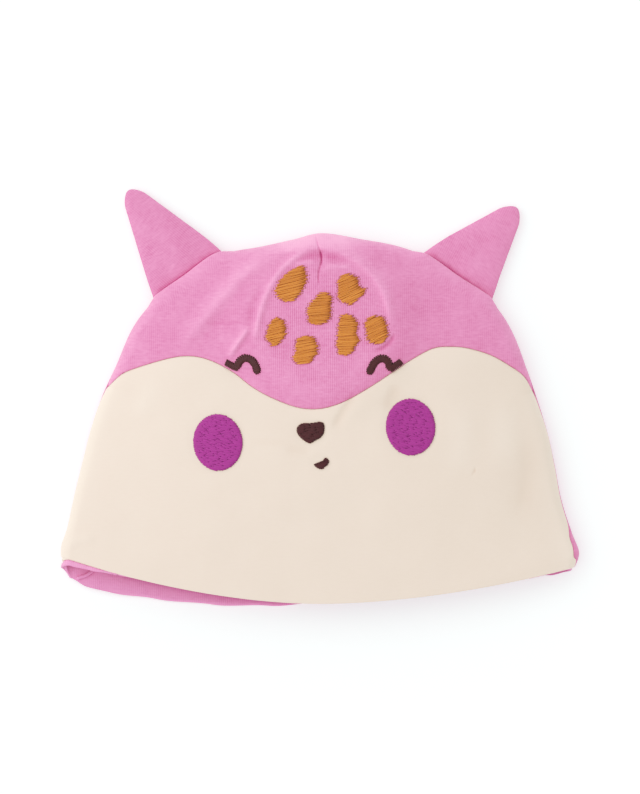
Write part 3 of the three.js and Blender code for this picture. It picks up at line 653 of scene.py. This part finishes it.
def threadMaterial(name, colours):
    material, tree = newMaterial(name)
    place = addNode(tree, "ShaderNodeTexCoord")
    tone = addNode(tree, "ShaderNodeAttribute", {"attribute_name": "tone"})
    parts = addNode(tree, "ShaderNodeSeparateXYZ", {}, {0: place.outputs["UV"]})
    # share of the way from the middle of a stitch to its ends
    side = addMath(tree, "ABSOLUTE", addMath(tree, "SUBTRACT", parts.outputs["Y"], 0.5))
    # the ends are painted darker, as shade where the thread dives in; tone adds each stitch's own tone of thread
    ends = addNode(tree, "ShaderNodeMapRange", {"From Min": 0.36, "From Max": 0.5, "To Max": 0.75},
                   {"Value": side})
    amount = addNode(tree, "ShaderNodeMath", {"operation": "ADD", "use_clamp": True},
                     {0: ends.outputs[0], 1: tone.outputs["Fac"]})
    colour = addNode(tree, "ShaderNodeMix", {"data_type": "RGBA", 6: linear(colours[0]), 7: linear(colours[1])},
                     {0: amount.outputs[0]})
    ply = addNode(tree, "ShaderNodeTexWave", {
        "wave_type": "BANDS", "bands_direction": "DIAGONAL", "Scale": waveUnit / threads["twist"],
        "Distortion": 0.5}, {"Vector": place.outputs["Object"]})
    bump = addNode(tree, "ShaderNodeBump", {"Strength": 0.25, "Distance": 0.00005},
                   {"Height": ply.outputs["Fac"]})
    thread = addNode(tree, "ShaderNodeBsdfPrincipled", {
        "Roughness": threads["roughness"], "IOR": 1.5, "Specular IOR Level": 0.25,
        "Sheen Weight": 0.04, "Sheen Roughness": 0.4},
        {"Base Color": colour.outputs[2], "Normal": bump.outputs["Normal"]})
    addNode(tree, "ShaderNodeOutputMaterial", {}, {"Surface": thread.outputs["BSDF"]})
    return material


pinkJersey = jerseyMaterial("pink cotton jersey", jersey["pink"], 0.00007, 0.46, 0.36)
creamJersey = jerseyMaterial("cream cotton jersey", jersey["cream"], 0.00001, 0.05, 0.1)
liningJersey = jerseyMaterial("pink lining jersey", jersey["lining"], 0.00014, 0.55, 0.25)
purpleThread = threadMaterial("purple viscose thread", threads["purple"])
brownThread = threadMaterial("brown viscose thread", threads["brown"])
ochreThread = threadMaterial("ochre viscose thread", threads["ochre"])
needleHoleShade = threadMaterial("painted needle hole shade", threads["hole"])


def declare(piece, nodes, material):
    if not piece.data.materials:
        piece.data.materials.append(material)
    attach(piece, "root")
    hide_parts(*nodes)


# where the widow's peak meets the folded edge, as shares along it
onCrown = np.flatnonzero(nearLine(rim[:, 0], rim[:, 1], peakLine, runOn=True)[0] > 0)
crownStart, crownEnd = onCrown[0] / (len(rim) - 1), onCrown[-1] / (len(rim) - 1)
apex = (rim[:-1, 0] * rim[1:, 0] <= 0).nonzero()[0].mean() / (len(rim) - 1)
fineHem, fineCorner, fineDart = [0.3] * 8, [0.35] * 14, [0.28] * 12
crownShares = np.concatenate([
    sharesBetween(crownStart, apex, fineCorner, fineDart, panels["columns"])[:-1],
    sharesBetween(apex, crownEnd, fineDart, fineCorner, panels["columns"]),
])
allShares = np.concatenate([
    sharesBetween(0, crownStart, fineHem, fineCorner, 62)[:-1],
    sharesBetween(crownStart, crownEnd, fineCorner, fineCorner, 150),
    sharesBetween(crownEnd, 1, fineCorner, fineHem, 62)[1:],
])


def frontPanel(name, shares, above):
    # the crown where above is true, or the face panel below the widow's peak
    station = stationsAt(shares)
    t = np.linspace(0, 11, 222)
    x, y, z = skin(station, *frontTurn(station, t[None]))
    run = measured(x, y, z)
    gap = nearLine(x, y, peakLine, runOn=True)[0]
    crossed = np.array([np.interp(0, -line, way) if line[0] > 0 else 0 for line, way in zip(gap, run)])
    if above:
        lengths = np.maximum(0.02, crossed - panels["seamGap"])
        wanted = spread(lengths, panels["seamSteps"], panels["peakSteps"], 84)
    else:
        start = np.where(crossed > 0, crossed + panels["seamGap"], 0)
        lengths = run[:, -1] - start
        wanted = spread(lengths, panels["peakSteps"], panels["hemSteps"], 66)
        wanted = wanted + start[:, None]
    turn, inward = frontTurn(station, atLengths(t, run, wanted))
    x, y, z = skin(station, turn, inward)
    gap = np.abs(nearLine(x, y, peakLine, runOn=True)[0])
    side = wanted if above else np.where(crossed[:, None] > 0, 99, wanted)
    depth = roll(gap, *panels["peakRoll"]) + roll(side, *panels["sideRoll"])
    depth += panels["peakValley"] * np.exp(-(gap / 3.2) ** 2)
    if not above:
        depth += panels["faceStep"] * np.exp(-(gap / 2.5) ** 2)
        depth += roll(np.maximum(0, y - hemLine(x)), panels["hemRoll"], panels["hemRoll"])
    x, y, z = skin(station, turn, inward, depth)
    # painted fold light and shade, and a painted sheen along the folded edge
    tone = paintedShading(x, y) + panels["edgeSheenPaint"] * np.exp(-(side / 7.0) ** 2)
    uv = unfolded(station, turn, inward, x, y)
    piece = clothSheet(name, (x, y, z), uv, hat["shell"], False, tone, foreheadShare(x, y, 0.8, 0.5))
    return piece


crownFront = frontPanel("crownFrontCloth", crownShares, True)
declare(crownFront, ["crown_front"], pinkJersey)
print("crown front laid")
facePanel = frontPanel("facePanelCloth", allShares, False)
declare(facePanel, ["face_panel"], creamJersey)
print("face panel laid")


def makeBack():
    station = stationsAt(allShares)
    t = np.linspace(0, 7, 150)
    run = measured(*skin(station, *backTurn(station, t[None])))
    wanted = spread(run[:, -1], panels["seamSteps"], panels["backHemSteps"], 40)
    turn, inward = backTurn(station, atLengths(t, run, wanted))
    x, y, z = skin(station, turn, inward)
    hem = np.maximum(0, y - hemLine(x) + hemDown(x, turn))
    depth = roll(wanted, *panels["sideRoll"]) + roll(hem, panels["hemRoll"], panels["hemRoll"])
    x, y, z = skin(station, turn, inward, depth)
    flat = unfolded(station, turn, inward, x, y)
    return clothSheet("backPanelCloth", (x, y, z), flat, hat["shell"], True)


backPanel = makeBack()
declare(backPanel, ["back_panel"], pinkJersey)
print("back panel laid")


liningDepth = hat["shell"] + hat["liningGap"] + hat["lining"]


def makeLining():
    # from the front hem round the folded edge to the back hem, its base being the inside
    station = stationsAt(allShares)
    steps = np.linspace(0, 1, 90)
    turn = math.pi / 2 * np.concatenate([np.ones(90), 1 - 2 * steps[1:], -np.ones(60)])
    inward = np.concatenate([np.linspace(1, 0, 90), np.zeros(89), np.linspace(0, 1, 61)[1:]])
    peek = hat["liningPeek"]
    run = measured(*skin(station, turn[None], inward[None], liningDepth, peek, False))
    wanted = spread(run[:, -1], panels["hemSteps"], panels["hemSteps"], 92)
    turn, inward = atLengths(turn, run, wanted), atLengths(inward, run, wanted)
    x, y, z = skin(station, turn, inward, liningDepth, peek, False)
    hem = np.minimum(wanted, run[:, -1:] - wanted)
    # below the shell's hem it comes out to where the shell was
    below = np.clip(hemLine(x) - hemDown(x, turn) - y, 0, 1) * np.clip((turn + 1.5) / 0.4, 0, 1)
    depth = liningDepth - roll(hem, hat["lining"], hat["lining"]) - 1.3 * eased(below)
    depth = np.maximum(hat["lining"], depth)
    x, y, z = skin(station, turn, inward, depth, peek, False)
    # painted shade where the cloth goes in under the front hem
    tone = -0.75 * np.clip(1 - (hemLine(x) - y) / 3.2, 0, 1) ** 2 * (turn < 0)
    flat = unfolded(station, turn, inward, x, y)
    return clothSheet("liningCloth", (x, y, z), flat, hat["lining"], False, tone)


lining = makeLining()
declare(lining, ["lining"], liningJersey)
print("lining laid")

# the lining's side seams inside the mouth, as raised welts on the back half
welts = {
    "width": 1.5, "height": 1.7, "lift": 0.4, "sides": 14, "cuts": 60, "length": 30, "tone": 1.1,
    "liningSeamLeft": [(-93.0, 9.0), (-91.4, 9.6), (-89.1, 10.4), (-87.1, 11.8), (-85.2, 13.6),
                       (-83.4, 16.6), (-82.0, 21.0), (-81.2, 27.0)],
    "liningSeamRight": [(94.2, 15.2), (91.5, 16.5), (88.4, 19.0), (86.2, 23.0), (85.0, 29.0)],
}


def makeWelt(name):
    piece = ringedCylinder(welts["sides"], welts["cuts"])
    piece.name = name
    line = smoothLine(welts[name], 121)
    ways = np.gradient(line, axis=0)
    ways /= np.linalg.norm(ways, axis=1)[:, None]
    spot = vertexPlaces(piece)
    last = len(line) - 1
    at = (spot[:, 0] + 0.5) * last
    x, y, wayX, wayY = (np.interp(at, np.arange(last + 1), column) for column in (*line.T, *ways.T))
    ends = np.sqrt(np.clip(np.minimum(at, last - at) / 4, 0.05, 1))
    across = spot[:, 1] * welts["width"] / 2 * ends
    z = liningDepth + welts["lift"] + spot[:, 2] * welts["height"] / 2 * ends
    putVertices(piece, x - across * wayY, y + across * wayX, z)
    putMap(piece, across, at / last * welts["length"])
    # painted shade along its foot, on the side towards the middle of the mouth
    foot = np.clip(-spot[:, 1] * np.sign(ways[0, 0]) - 0.2, 0, 1)
    putLevel(piece, "shadingPaint", -welts["tone"] * foot)
    piece.data.update()
    return piece


for name in ("liningSeamLeft", "liningSeamRight"):
    declare(makeWelt(name), ["lining"], liningJersey)
print("side seams of the lining laid")


def rimPlace(share):
    # a place on the folded edge, and the way along it there
    at = share * (len(rim) - 1)
    return [np.interp(at, np.arange(len(rim)), column) for column in (*rim.T, *rimWay.T)]


def makeEar(one):
    # a sphere drawn out into a flat stuffed ear, its foot tucked into the crown's seam
    deselectAll()
    bpy.ops.mesh.primitive_uv_sphere_add(segments=72, ring_count=60, radius=1)
    piece = bpy.context.object
    piece.name = one["name"].replace("_l", "L").replace("_r", "R") + "Cloth"
    spot = vertexPlaces(piece)
    polar = np.arccos(np.clip(-spot[:, 2], -1, 1)) / math.pi
    around = np.arctan2(spot[:, 1], spot[:, 0])
    foot = np.clip(polar / 0.1, 0, 1)  # the closed end inside the seam
    section = np.sin(np.clip((polar - 0.1) / 0.9, 0, 1) * math.pi / 2)
    height = ear["height"] * one["size"]
    closing = np.clip((1 - section) * height / (1.6 * ear["tipRadius"]), 0, 1)
    closing = np.sqrt(1 - (1 - closing) ** 2)
    side = (ear["tipRadius"] + (ear["base"] / 2 - ear["tipRadius"]) * (1 - section)) * closing * foot
    plump = ear["rootThickness"] / ear["thickness"]
    plump = plump + (1 - plump) * np.sin(np.clip(section / 0.3, 0, 1) * math.pi / 2)
    thick = ear["thickness"] * plump * (1 - ear["thinning"] * section) * closing / 2
    wide = np.cos(around) * side
    sine = np.sin(around)
    high = np.sign(sine) * np.abs(sine) ** 1.15 * thick * foot
    # soft hollows where the two layers sag towards each other
    hollow = np.sin(wide / 3.1 + section * 5) * np.sin(section * 9 + 0.5)
    high += ear["hollow"] * hollow * (1 - np.abs(np.cos(around))) * (sine > 0) * foot
    share = one["along"]
    seamX, seamY, wayX, wayY = rimPlace(share + wide / rimLength)
    footX, footY, alongX, alongY = rimPlace(share)
    lean = math.radians(one["lean"])
    outX = -alongY * math.cos(lean) - alongX * math.sin(lean)
    outY = alongX * math.cos(lean) - alongY * math.sin(lean)
    free = np.minimum(1, section / ear["flare"])
    tuck = ear["tuck"] * (1 - free)
    rootX, rootY = seamX + wayY * tuck, seamY - wayX * tuck
    x = rootX + (footX + outY * wide - rootX) * free + outX * section * height
    y = rootY + (footY - outX * wide - rootY) * free + outY * section * height
    tipMiddle = ear["thickness"] / 2 + ear["clearance"]
    z = hat["edgeRadius"] + (tipMiddle - hat["edgeRadius"]) * section**0.6 + high
    putVertices(piece, x, y, z)
    up = section * height
    putMap(piece, wide + 0.25 * up, up)
    # painted shade in the crease under the crown's edge, on the ear's upper side
    inside = np.cos(np.clip(wide / (0.5 * ear["base"] * one["size"]), -1, 1) * math.pi / 2) ** 0.6
    deep = inside * np.exp(-(np.maximum(0, up - ear["creaseFrom"]) / ear["creaseReach"]) ** 1.3)
    putLevel(piece, "shadingPaint", -ear["paintedShading"] * deep * (sine > 0))
    piece.data.update()
    bpy.ops.object.mode_set(mode="EDIT")
    bpy.ops.mesh.select_all(action="SELECT")
    bpy.ops.mesh.normals_make_consistent(inside=False)
    bpy.ops.object.mode_set(mode="OBJECT")
    bpy.ops.object.shade_smooth()
    return piece


for one in earPlaces:
    piece = makeEar(one)
    declare(piece, [one["name"]], pinkJersey)
print("ears tucked in")


# Embroidery: outlines in plan millimetres, way in degrees of the stitches, pitch between them
embroidery = {
    "thread": 0.27,       # half the width of a thread as it lies
    "flat": 0.62,         # its height as a share of that
    "lift": 0.42,         # how high the stitches stand over the cloth
    "sink": 0.35,         # how deep their ends go
    "sides": 6,
    "cuts": 9,
    "hole": 0.3,
    "padTone": 0.5, "holeTone": 0.5,
    "raggedEnds": (-0.75, 0.65),
    "brickStart": (0.3, 1.25),  # of the first break in a row, as shares of the longest stitch
}
spots = {
    "spot_1": {"way": 14, "outline": [
        (-17.4, 119.2), (-14.2, 124.1), (-8.9, 127.7), (-6.0, 127.9), (-4.6, 123.6), (-5.1, 121.2),
        (-7.9, 116.8), (-9.9, 114.9), (-14.7, 115.1), (-17.2, 117.8)]},
    "spot_2": {"way": 5, "outline": [
        (0.8, 118.0), (4.2, 116.8), (4.4, 111.0), (3.2, 107.1), (-0.2, 105.9), (-4.1, 106.6),
        (-5.1, 111.0), (-3.3, 114.9)]},
    "spot_3": {"way": 24, "outline": [
        (11.4, 125.1), (14.1, 124.1), (15.3, 120.7), (17.7, 118.8), (14.4, 115.4), (11.9, 113.2),
        (7.1, 114.9), (6.3, 117.8), (6.6, 122.1), (8.1, 124.3)]},
    "spot_4": {"way": 14, "outline": [
        (-16.0, 108.8), (-13.8, 107.6), (-12.5, 104.2), (-13.8, 100.3), (-17.2, 97.7),
        (-20.1, 99.4), (-20.6, 102.3), (-19.3, 106.1)]},
    "spot_5": {"way": 10, "outline": [
        (-4.6, 101.8), (-1.6, 100.3), (-0.7, 97.4), (-1.2, 94.0), (-4.1, 91.6), (-8.9, 91.1),
        (-10.4, 93.1), (-9.4, 96.4), (-9.2, 99.8)]},
    "spot_6": {"way": 3, "outline": [
        (10.0, 110.0), (12.9, 108.6), (14.6, 106.1), (14.1, 103.2), (15.3, 99.8), (13.4, 96.9),
        (10.9, 94.3), (7.1, 94.7), (6.1, 97.9), (6.6, 104.2), (7.3, 108.6)]},
    "spot_7": {"way": 26, "outline": [
        (22.1, 109.3), (25.0, 107.1), (26.0, 102.3), (24.5, 99.4), (21.6, 98.2), (17.7, 99.8),
        (17.3, 103.2), (16.8, 106.6), (19.7, 109.1)]},
}
cheeks = {
    "cheek_left": {"centre": (-38.6, 61.3), "half": (9.4, 10.7), "turn": 6, "way": -14},
    "cheek_right": {"centre": (34.2, 67.1), "half": (9.4, 10.7), "turn": 6, "way": -16},
}
nose = {"way": -6, "outline": [
    (-8.7, 67.0), (-7.1, 68.4), (-3.6, 68.6), (0.4, 69.0), (1.4, 68.4), (1.6, 65.3), (0.4, 63.3),
    (-1.6, 62.1), (-3.8, 61.0), (-6.4, 62.3), (-8.1, 64.0), (-8.9, 65.7)]}
mouth = {"way": 20, "outline": [
    (-2.4, 53.0), (-1.6, 53.5), (-0.6, 53.8), (0.5, 54.0), (1.2, 54.6), (1.6, 55.3), (2.4, 55.5),
    (3.5, 54.4), (3.2, 53.3), (2.1, 52.2), (0.9, 51.3), (-0.4, 51.4), (-1.5, 51.9)]}
eyes = {
    "eye_left": {"lash": [(-35.5, 91.6), (-33.1, 90.2), (-31.0, 89.3)],
                 "arc": [(-31.5, 89.5), (-30.4, 92.0), (-28.5, 93.2), (-26.0, 92.5), (-24.3, 90.2), (-23.6, 87.4)]},
    "eye_right": {"lash": [(26.4, 88.8), (28.7, 90.5), (30.6, 91.8)],
                  "arc": [(18.5, 87.2), (19.7, 90.1), (21.4, 92.3), (23.6, 93.1), (25.5, 92.1), (26.6, 88.9)]},
    "width": 3.3, "pitch": 0.33, "lashShare": 0.82, "lashRounding": 0.16,
}
# how the patches are filled: pitch of the stitches, how ragged their ends are, the longest one
# that isn't broken, and how far the pad stays inside the outline
satin = {
    "spots": {"pitch": 0.44, "ragged": 1.0, "longest": 99.0, "inset": 0.45},
    "cheeks": {"pitch": 0.34, "ragged": 0.14, "longest": 5.5, "inset": 0.1},
    "muzzle": {"pitch": 0.34, "ragged": 0.06, "longest": 4.2, "inset": 0.1},
}


# a small flat dark disc, painted shade in a needle hole
def makeHole():
    deselectAll()
    bpy.ops.mesh.primitive_circle_add(vertices=7, radius=1, fill_type="TRIFAN")
    return bpy.context.object


stitchPattern, holePattern = ringedCylinder(embroidery["sides"], embroidery["cuts"]), makeHole()
stitchPattern.name, holePattern.name = "stitchPattern", "holePattern"
stitchPlaces, holePlaces = vertexPlaces(stitchPattern), vertexPlaces(holePattern)


def copyPattern(pattern, x, y, z, tone, material):
    # a copy with its own mesh, laid at its place
    copy = pattern.copy()
    copy.data = pattern.data.copy()
    putVertices(copy, x, y, z)
    putLevel(copy, "tone", tone)
    copy.data.materials.clear()
    copy.data.materials.append(material)
    bpy.context.collection.objects.link(copy)
    return copy


def layStitch(start, end, lift, material, radius=1.0, sink=1.0):
    # the thread follows the cloth, arches over it and dives in at both ends
    start, end = np.array(start), np.array(end)
    way = end - start
    length = max(0.3, float(np.linalg.norm(way)))
    way = way / length
    t = stitchPlaces[:, 0]
    ends = np.clip(1 - (0.5 - np.abs(t)) * length / 0.75, 0, 1) ** 2
    thread = embroidery["thread"] * radius * (1 - 0.25 * ends)
    across = stitchPlaces[:, 1] * thread
    x = start[0] + (t + 0.5) * length * way[0] - across * way[1]
    y = start[1] + (t + 0.5) * length * way[1] + across * way[0]
    z = frontHeight(x, y) + lift - (lift + embroidery["sink"] * sink) * ends
    z = z + stitchPlaces[:, 2] * thread * embroidery["flat"]
    return copyPattern(stitchPattern, x, y, z, dice.uniform(0, 0.45), material)


# lays a painted shade disc at a needle hole
def layHole(place, material):
    size = embroidery["hole"] * dice.uniform(0.75, 1.15)
    x = place[0] + holePlaces[:, 0] * size
    y = place[1] + holePlaces[:, 1] * size
    z = frontHeight(x, y) + 0.03
    return copyPattern(holePattern, x, y, z, embroidery["holeTone"], material)


def layPad(outline, inset, lift, material):
    # the underlay: a low pad of thread below the top stitches
    middle = outline.mean(0)
    out = outline - middle
    far = np.linalg.norm(out, axis=1)[:, None]
    deselectAll()
    bpy.ops.mesh.primitive_circle_add(vertices=len(outline), radius=1, fill_type="TRIFAN")
    pad = bpy.context.object
    bpy.ops.object.mode_set(mode="EDIT")
    bpy.ops.mesh.select_all(action="SELECT")
    bpy.ops.mesh.subdivide(number_cuts=3)
    bpy.ops.object.mode_set(mode="OBJECT")
    spot = vertexPlaces(pad)
    angle = np.arctan2(out[:, 1], out[:, 0])
    order = np.argsort(angle)
    reach = np.interp(np.arctan2(spot[:, 1], spot[:, 0]), angle[order],
                      np.maximum(0.1, far[order, 0] - inset), period=2 * math.pi)
    radial = np.hypot(spot[:, 0], spot[:, 1])
    flat = np.cos(math.pi / len(outline))
    radial = np.minimum(1, radial / (flat + (1 - flat) * radial))
    way = np.arctan2(spot[:, 1], spot[:, 0])
    x = middle[0] + np.cos(way) * reach * radial
    y = middle[1] + np.sin(way) * reach * radial
    z = frontHeight(x, y) + lift * np.sqrt(np.clip(1.02 - radial**4, 0, 1)) - 0.06
    putVertices(pad, x, y, z)
    # the pad is deeper in colour: partly its own underlay thread, partly painted shade between the top stitches
    putLevel(pad, "tone", embroidery["padTone"])
    pad.data.materials.append(material)
    bpy.ops.object.shade_smooth()
    return pad


def crossings(outline, way, level):
    # where a line across the outline, turned by way, enters and leaves it
    turn = math.radians(way)
    u = outline[:, 0] * math.cos(turn) + outline[:, 1] * math.sin(turn)
    v = -outline[:, 0] * math.sin(turn) + outline[:, 1] * math.cos(turn)
    nextU, nextV = np.roll(u, -1), np.roll(v, -1)
    cut = (v - level) * (nextV - level) < 0
    share = (level - v[cut]) / (nextV[cut] - v[cut])
    return sorted(u[cut] + share * (nextU[cut] - u[cut])), (v.min(), v.max())


def turned(u, v, way):
    turn = math.radians(way)
    return (u * math.cos(turn) - v * math.sin(turn), u * math.sin(turn) + v * math.cos(turn))


def joinPieces(name, parts):
    deselectAll()
    for part in parts:
        part.select_set(True)
    bpy.context.view_layer.objects.active = parts[0]
    bpy.ops.object.join()
    piece = bpy.context.object
    piece.name = name
    return piece


def satinPatch(name, outline, way, material, pitch, ragged, longest, inset, holes=None):
    # straight stitches from edge to edge, or in brick order where they would be too long
    outline = smoothLine(outline, 64, closed=True) if len(outline) < 40 else outline
    parts = [layPad(outline, inset, embroidery["lift"] * 0.55, material)]
    low, high = crossings(outline, way, 0.0)[1]
    count = max(3, round((high - low) / pitch))
    for row in range(count):
        level = low + (row + 0.5) * (high - low) / count
        cuts = crossings(outline, way, level)[0]
        for left, right in zip(cuts[::2], cuts[1::2]):
            left -= dice.uniform(*embroidery["raggedEnds"]) * ragged
            right += dice.uniform(*embroidery["raggedEnds"]) * ragged
            ends = [left, right]
            if right - left > 1.4 * longest:
                first = left + longest * dice.uniform(*embroidery["brickStart"])
                ends = [left, *np.arange(first, right - 0.35 * longest, longest), right]
            slant = (0.175 if row % 2 else -0.175) * pitch
            for a, b in zip(ends, ends[1:]):
                lift = embroidery["lift"] * (dice.uniform(0.85, 1.15) if holes else dice.uniform(0.95, 1.05))
                loose = pitch * (0.4 if holes else 0.12)
                start = turned(a, level - slant + dice.uniform(-1, 1) * loose, way)
                end = turned(b, level + slant + dice.uniform(-1, 1) * loose, way)
                radius = dice.uniform(0.9, 1.1) * min(1.15, max(0.85, pitch / 0.5))
                parts.append(layStitch(start, end, lift, material, radius, 1.0 if holes else -0.8))
            if holes:
                parts.append(layHole(turned(left - 0.12, level - slant, way), holes))
                parts.append(layHole(turned(right + 0.12, level + slant, way), holes))
    return joinPieces(name, parts)


def satinStroke(parts, points, width, pitch, material, rounding=0.45):
    # short stitches side by side across a line, with round ends
    length = sum(math.dist(a, b) for a, b in zip(points, points[1:]))
    count = max(4, round(length / pitch))
    line = smoothLine(points, count + 1)
    ways = np.gradient(line, axis=0)
    for k, (place, way) in enumerate(zip(line, ways)):
        way = way / np.linalg.norm(way)
        fromEnd = min(k, count - k) * length / count
        reach = 0.5 * width * math.sqrt(1 - max(0, 1 - (fromEnd + 0.25) / (rounding * width)) ** 2)
        reach *= dice.uniform(0.93, 1.07)
        side = np.array([-way[1], way[0]]) * reach
        skew = way * 0.18 * (1 if k % 2 else -1)
        parts.append(layStitch(place - side - skew, place + side + skew,
                               embroidery["lift"] * dice.uniform(0.9, 1.1), material, 1.05, 0.8))


for name, spot in spots.items():
    label = "ochreSpot" + name[-1]
    piece = satinPatch(label, spot["outline"], spot["way"], ochreThread, **satin["spots"], holes=needleHoleShade)
    declare(piece, [name], ochreThread)
print("spots stitched")

for name, cheek in cheeks.items():
    angles = np.linspace(0, 2 * math.pi, 73)[:-1]
    lean = math.radians(cheek["turn"])
    wide, high = np.cos(angles) * cheek["half"][0], np.sin(angles) * cheek["half"][1]
    oval = np.column_stack([
        cheek["centre"][0] + wide * math.cos(lean) - high * math.sin(lean),
        cheek["centre"][1] + wide * math.sin(lean) + high * math.cos(lean)])
    label = "purpleCheek" + name.split("_")[1].capitalize()
    piece = satinPatch(label, oval, cheek["way"], purpleThread, **satin["cheeks"])
    declare(piece, [name], purpleThread)
print("cheeks stitched")

for name, patch in (("nose", nose), ("mouth", mouth)):
    label = "brown" + name.capitalize()
    piece = satinPatch(label, patch["outline"], patch["way"], brownThread, **satin["muzzle"])
    declare(piece, [name], brownThread)
for name in ("eye_left", "eye_right"):
    parts = []
    satinStroke(parts, eyes[name]["arc"], eyes["width"], eyes["pitch"], brownThread)
    satinStroke(parts, eyes[name]["lash"], eyes["width"] * eyes["lashShare"], eyes["pitch"], brownThread,
                eyes["lashRounding"])
    piece = joinPieces("brownEye" + name.split("_")[1].capitalize(), parts)
    declare(piece, [name], brownThread)
print("nose, mouth and eyes stitched")
bpy.data.objects.remove(stitchPattern)
bpy.data.objects.remove(holePattern)


# White paper sweep, matt: nearly white and without any shine
studio = {
    "floorSize": 6.0,
    "glow": 1.18,         # soft light from all round the tent
    "glowLean": 0.48,     # how much more of it comes from one side
    "glowFrom": (-0.92, 0.25, 0.1),
    "keyPlace": (-1.3, 0.6, 1.2), "keySize": 1.0, "keyPower": 6.0,
    "paperGlow": 0.35,    # the paper lies on a light table
    # light in and brightness out: bright tones are held back as a camera holds them
    "tones": [(0.0, 0.0), (0.35, 0.35), (0.66, 0.6), (1.03, 0.8), (1.5, 1.0)],
    "cameraHeight": 1.6, "pictureHeight": 0.3017,
}


def makeStudio():
    deselectAll()
    bpy.ops.mesh.primitive_plane_add(size=studio["floorSize"])
    floor = bpy.context.object
    floor.name = "floor"
    material, tree = newMaterial("white paper")
    place = addNode(tree, "ShaderNodeTexCoord")
    grain = addNode(tree, "ShaderNodeTexNoise", {"Scale": 900.0, "Detail": 2.0},
                    {"Vector": place.outputs["Object"]})
    bump = addNode(tree, "ShaderNodeBump", {"Strength": 0.05, "Distance": 0.0001},
                   {"Height": grain.outputs["Fac"]})
    paper = addNode(tree, "ShaderNodeBsdfPrincipled", {
        "Base Color": linear("#f3fbfa"), "Roughness": 0.95, "Specular IOR Level": 0.1,
        "Emission Color": linear("#ffffff"), "Emission Strength": studio["paperGlow"]},
        {"Normal": bump.outputs["Normal"]})
    addNode(tree, "ShaderNodeOutputMaterial", {}, {"Surface": paper.outputs["BSDF"]})
    floor.data.materials.append(material)
    bpy.ops.object.light_add(type="AREA", location=studio["keyPlace"])
    key = bpy.context.object
    key.name = "softbox"
    key.data.shape = "SQUARE"
    key.data.size = studio["keySize"]
    key.data.energy = studio["keyPower"]
    key.rotation_euler = (-Vector(studio["keyPlace"])).to_track_quat("-Z", "Y").to_euler()
    world = bpy.data.worlds.new("studio")
    bpy.context.scene.world = world
    world.use_nodes = True
    world.node_tree.nodes.clear()
    tree = world.node_tree
    way = addNode(tree, "ShaderNodeTexCoord")
    lean = addNode(tree, "ShaderNodeVectorMath", {"operation": "DOT_PRODUCT", 1: studio["glowFrom"]},
                   {0: way.outputs["Generated"]})
    leaning = studio["glow"] * studio["glowLean"]
    power = addMath(tree, "MULTIPLY_ADD", lean.outputs["Value"], leaning, studio["glow"])
    glow = addNode(tree, "ShaderNodeBackground", {"Color": linear("#ffffff")}, {"Strength": power})
    addNode(tree, "ShaderNodeOutputWorld", {}, {"Surface": glow.outputs[0]})
    view = bpy.context.scene.view_settings
    view.view_transform = "Standard"
    view.use_curve_mapping = True
    brightest = studio["tones"][-1][0]
    view.curve_mapping.white_level = (brightest,) * 3
    curve = view.curve_mapping.curves[3]
    curve.points[-1].location = (1, 1)
    for light, out in studio["tones"][1:-1]:
        curve.points.new(light / brightest, out)
    view.curve_mapping.update()


def makeCamera():
    # straight overhead, the crown to the top of the picture
    deselectAll()
    bpy.ops.object.camera_add(location=(0, 0.0003, studio["cameraHeight"]), rotation=(0, 0, 0))
    camera = bpy.context.object
    camera.data.sensor_width = 36
    camera.data.lens = 36 * (studio["cameraHeight"] - 0.01) / studio["pictureHeight"]
    bpy.context.scene.camera = camera


makeStudio()
makeCamera()
print("studio set")
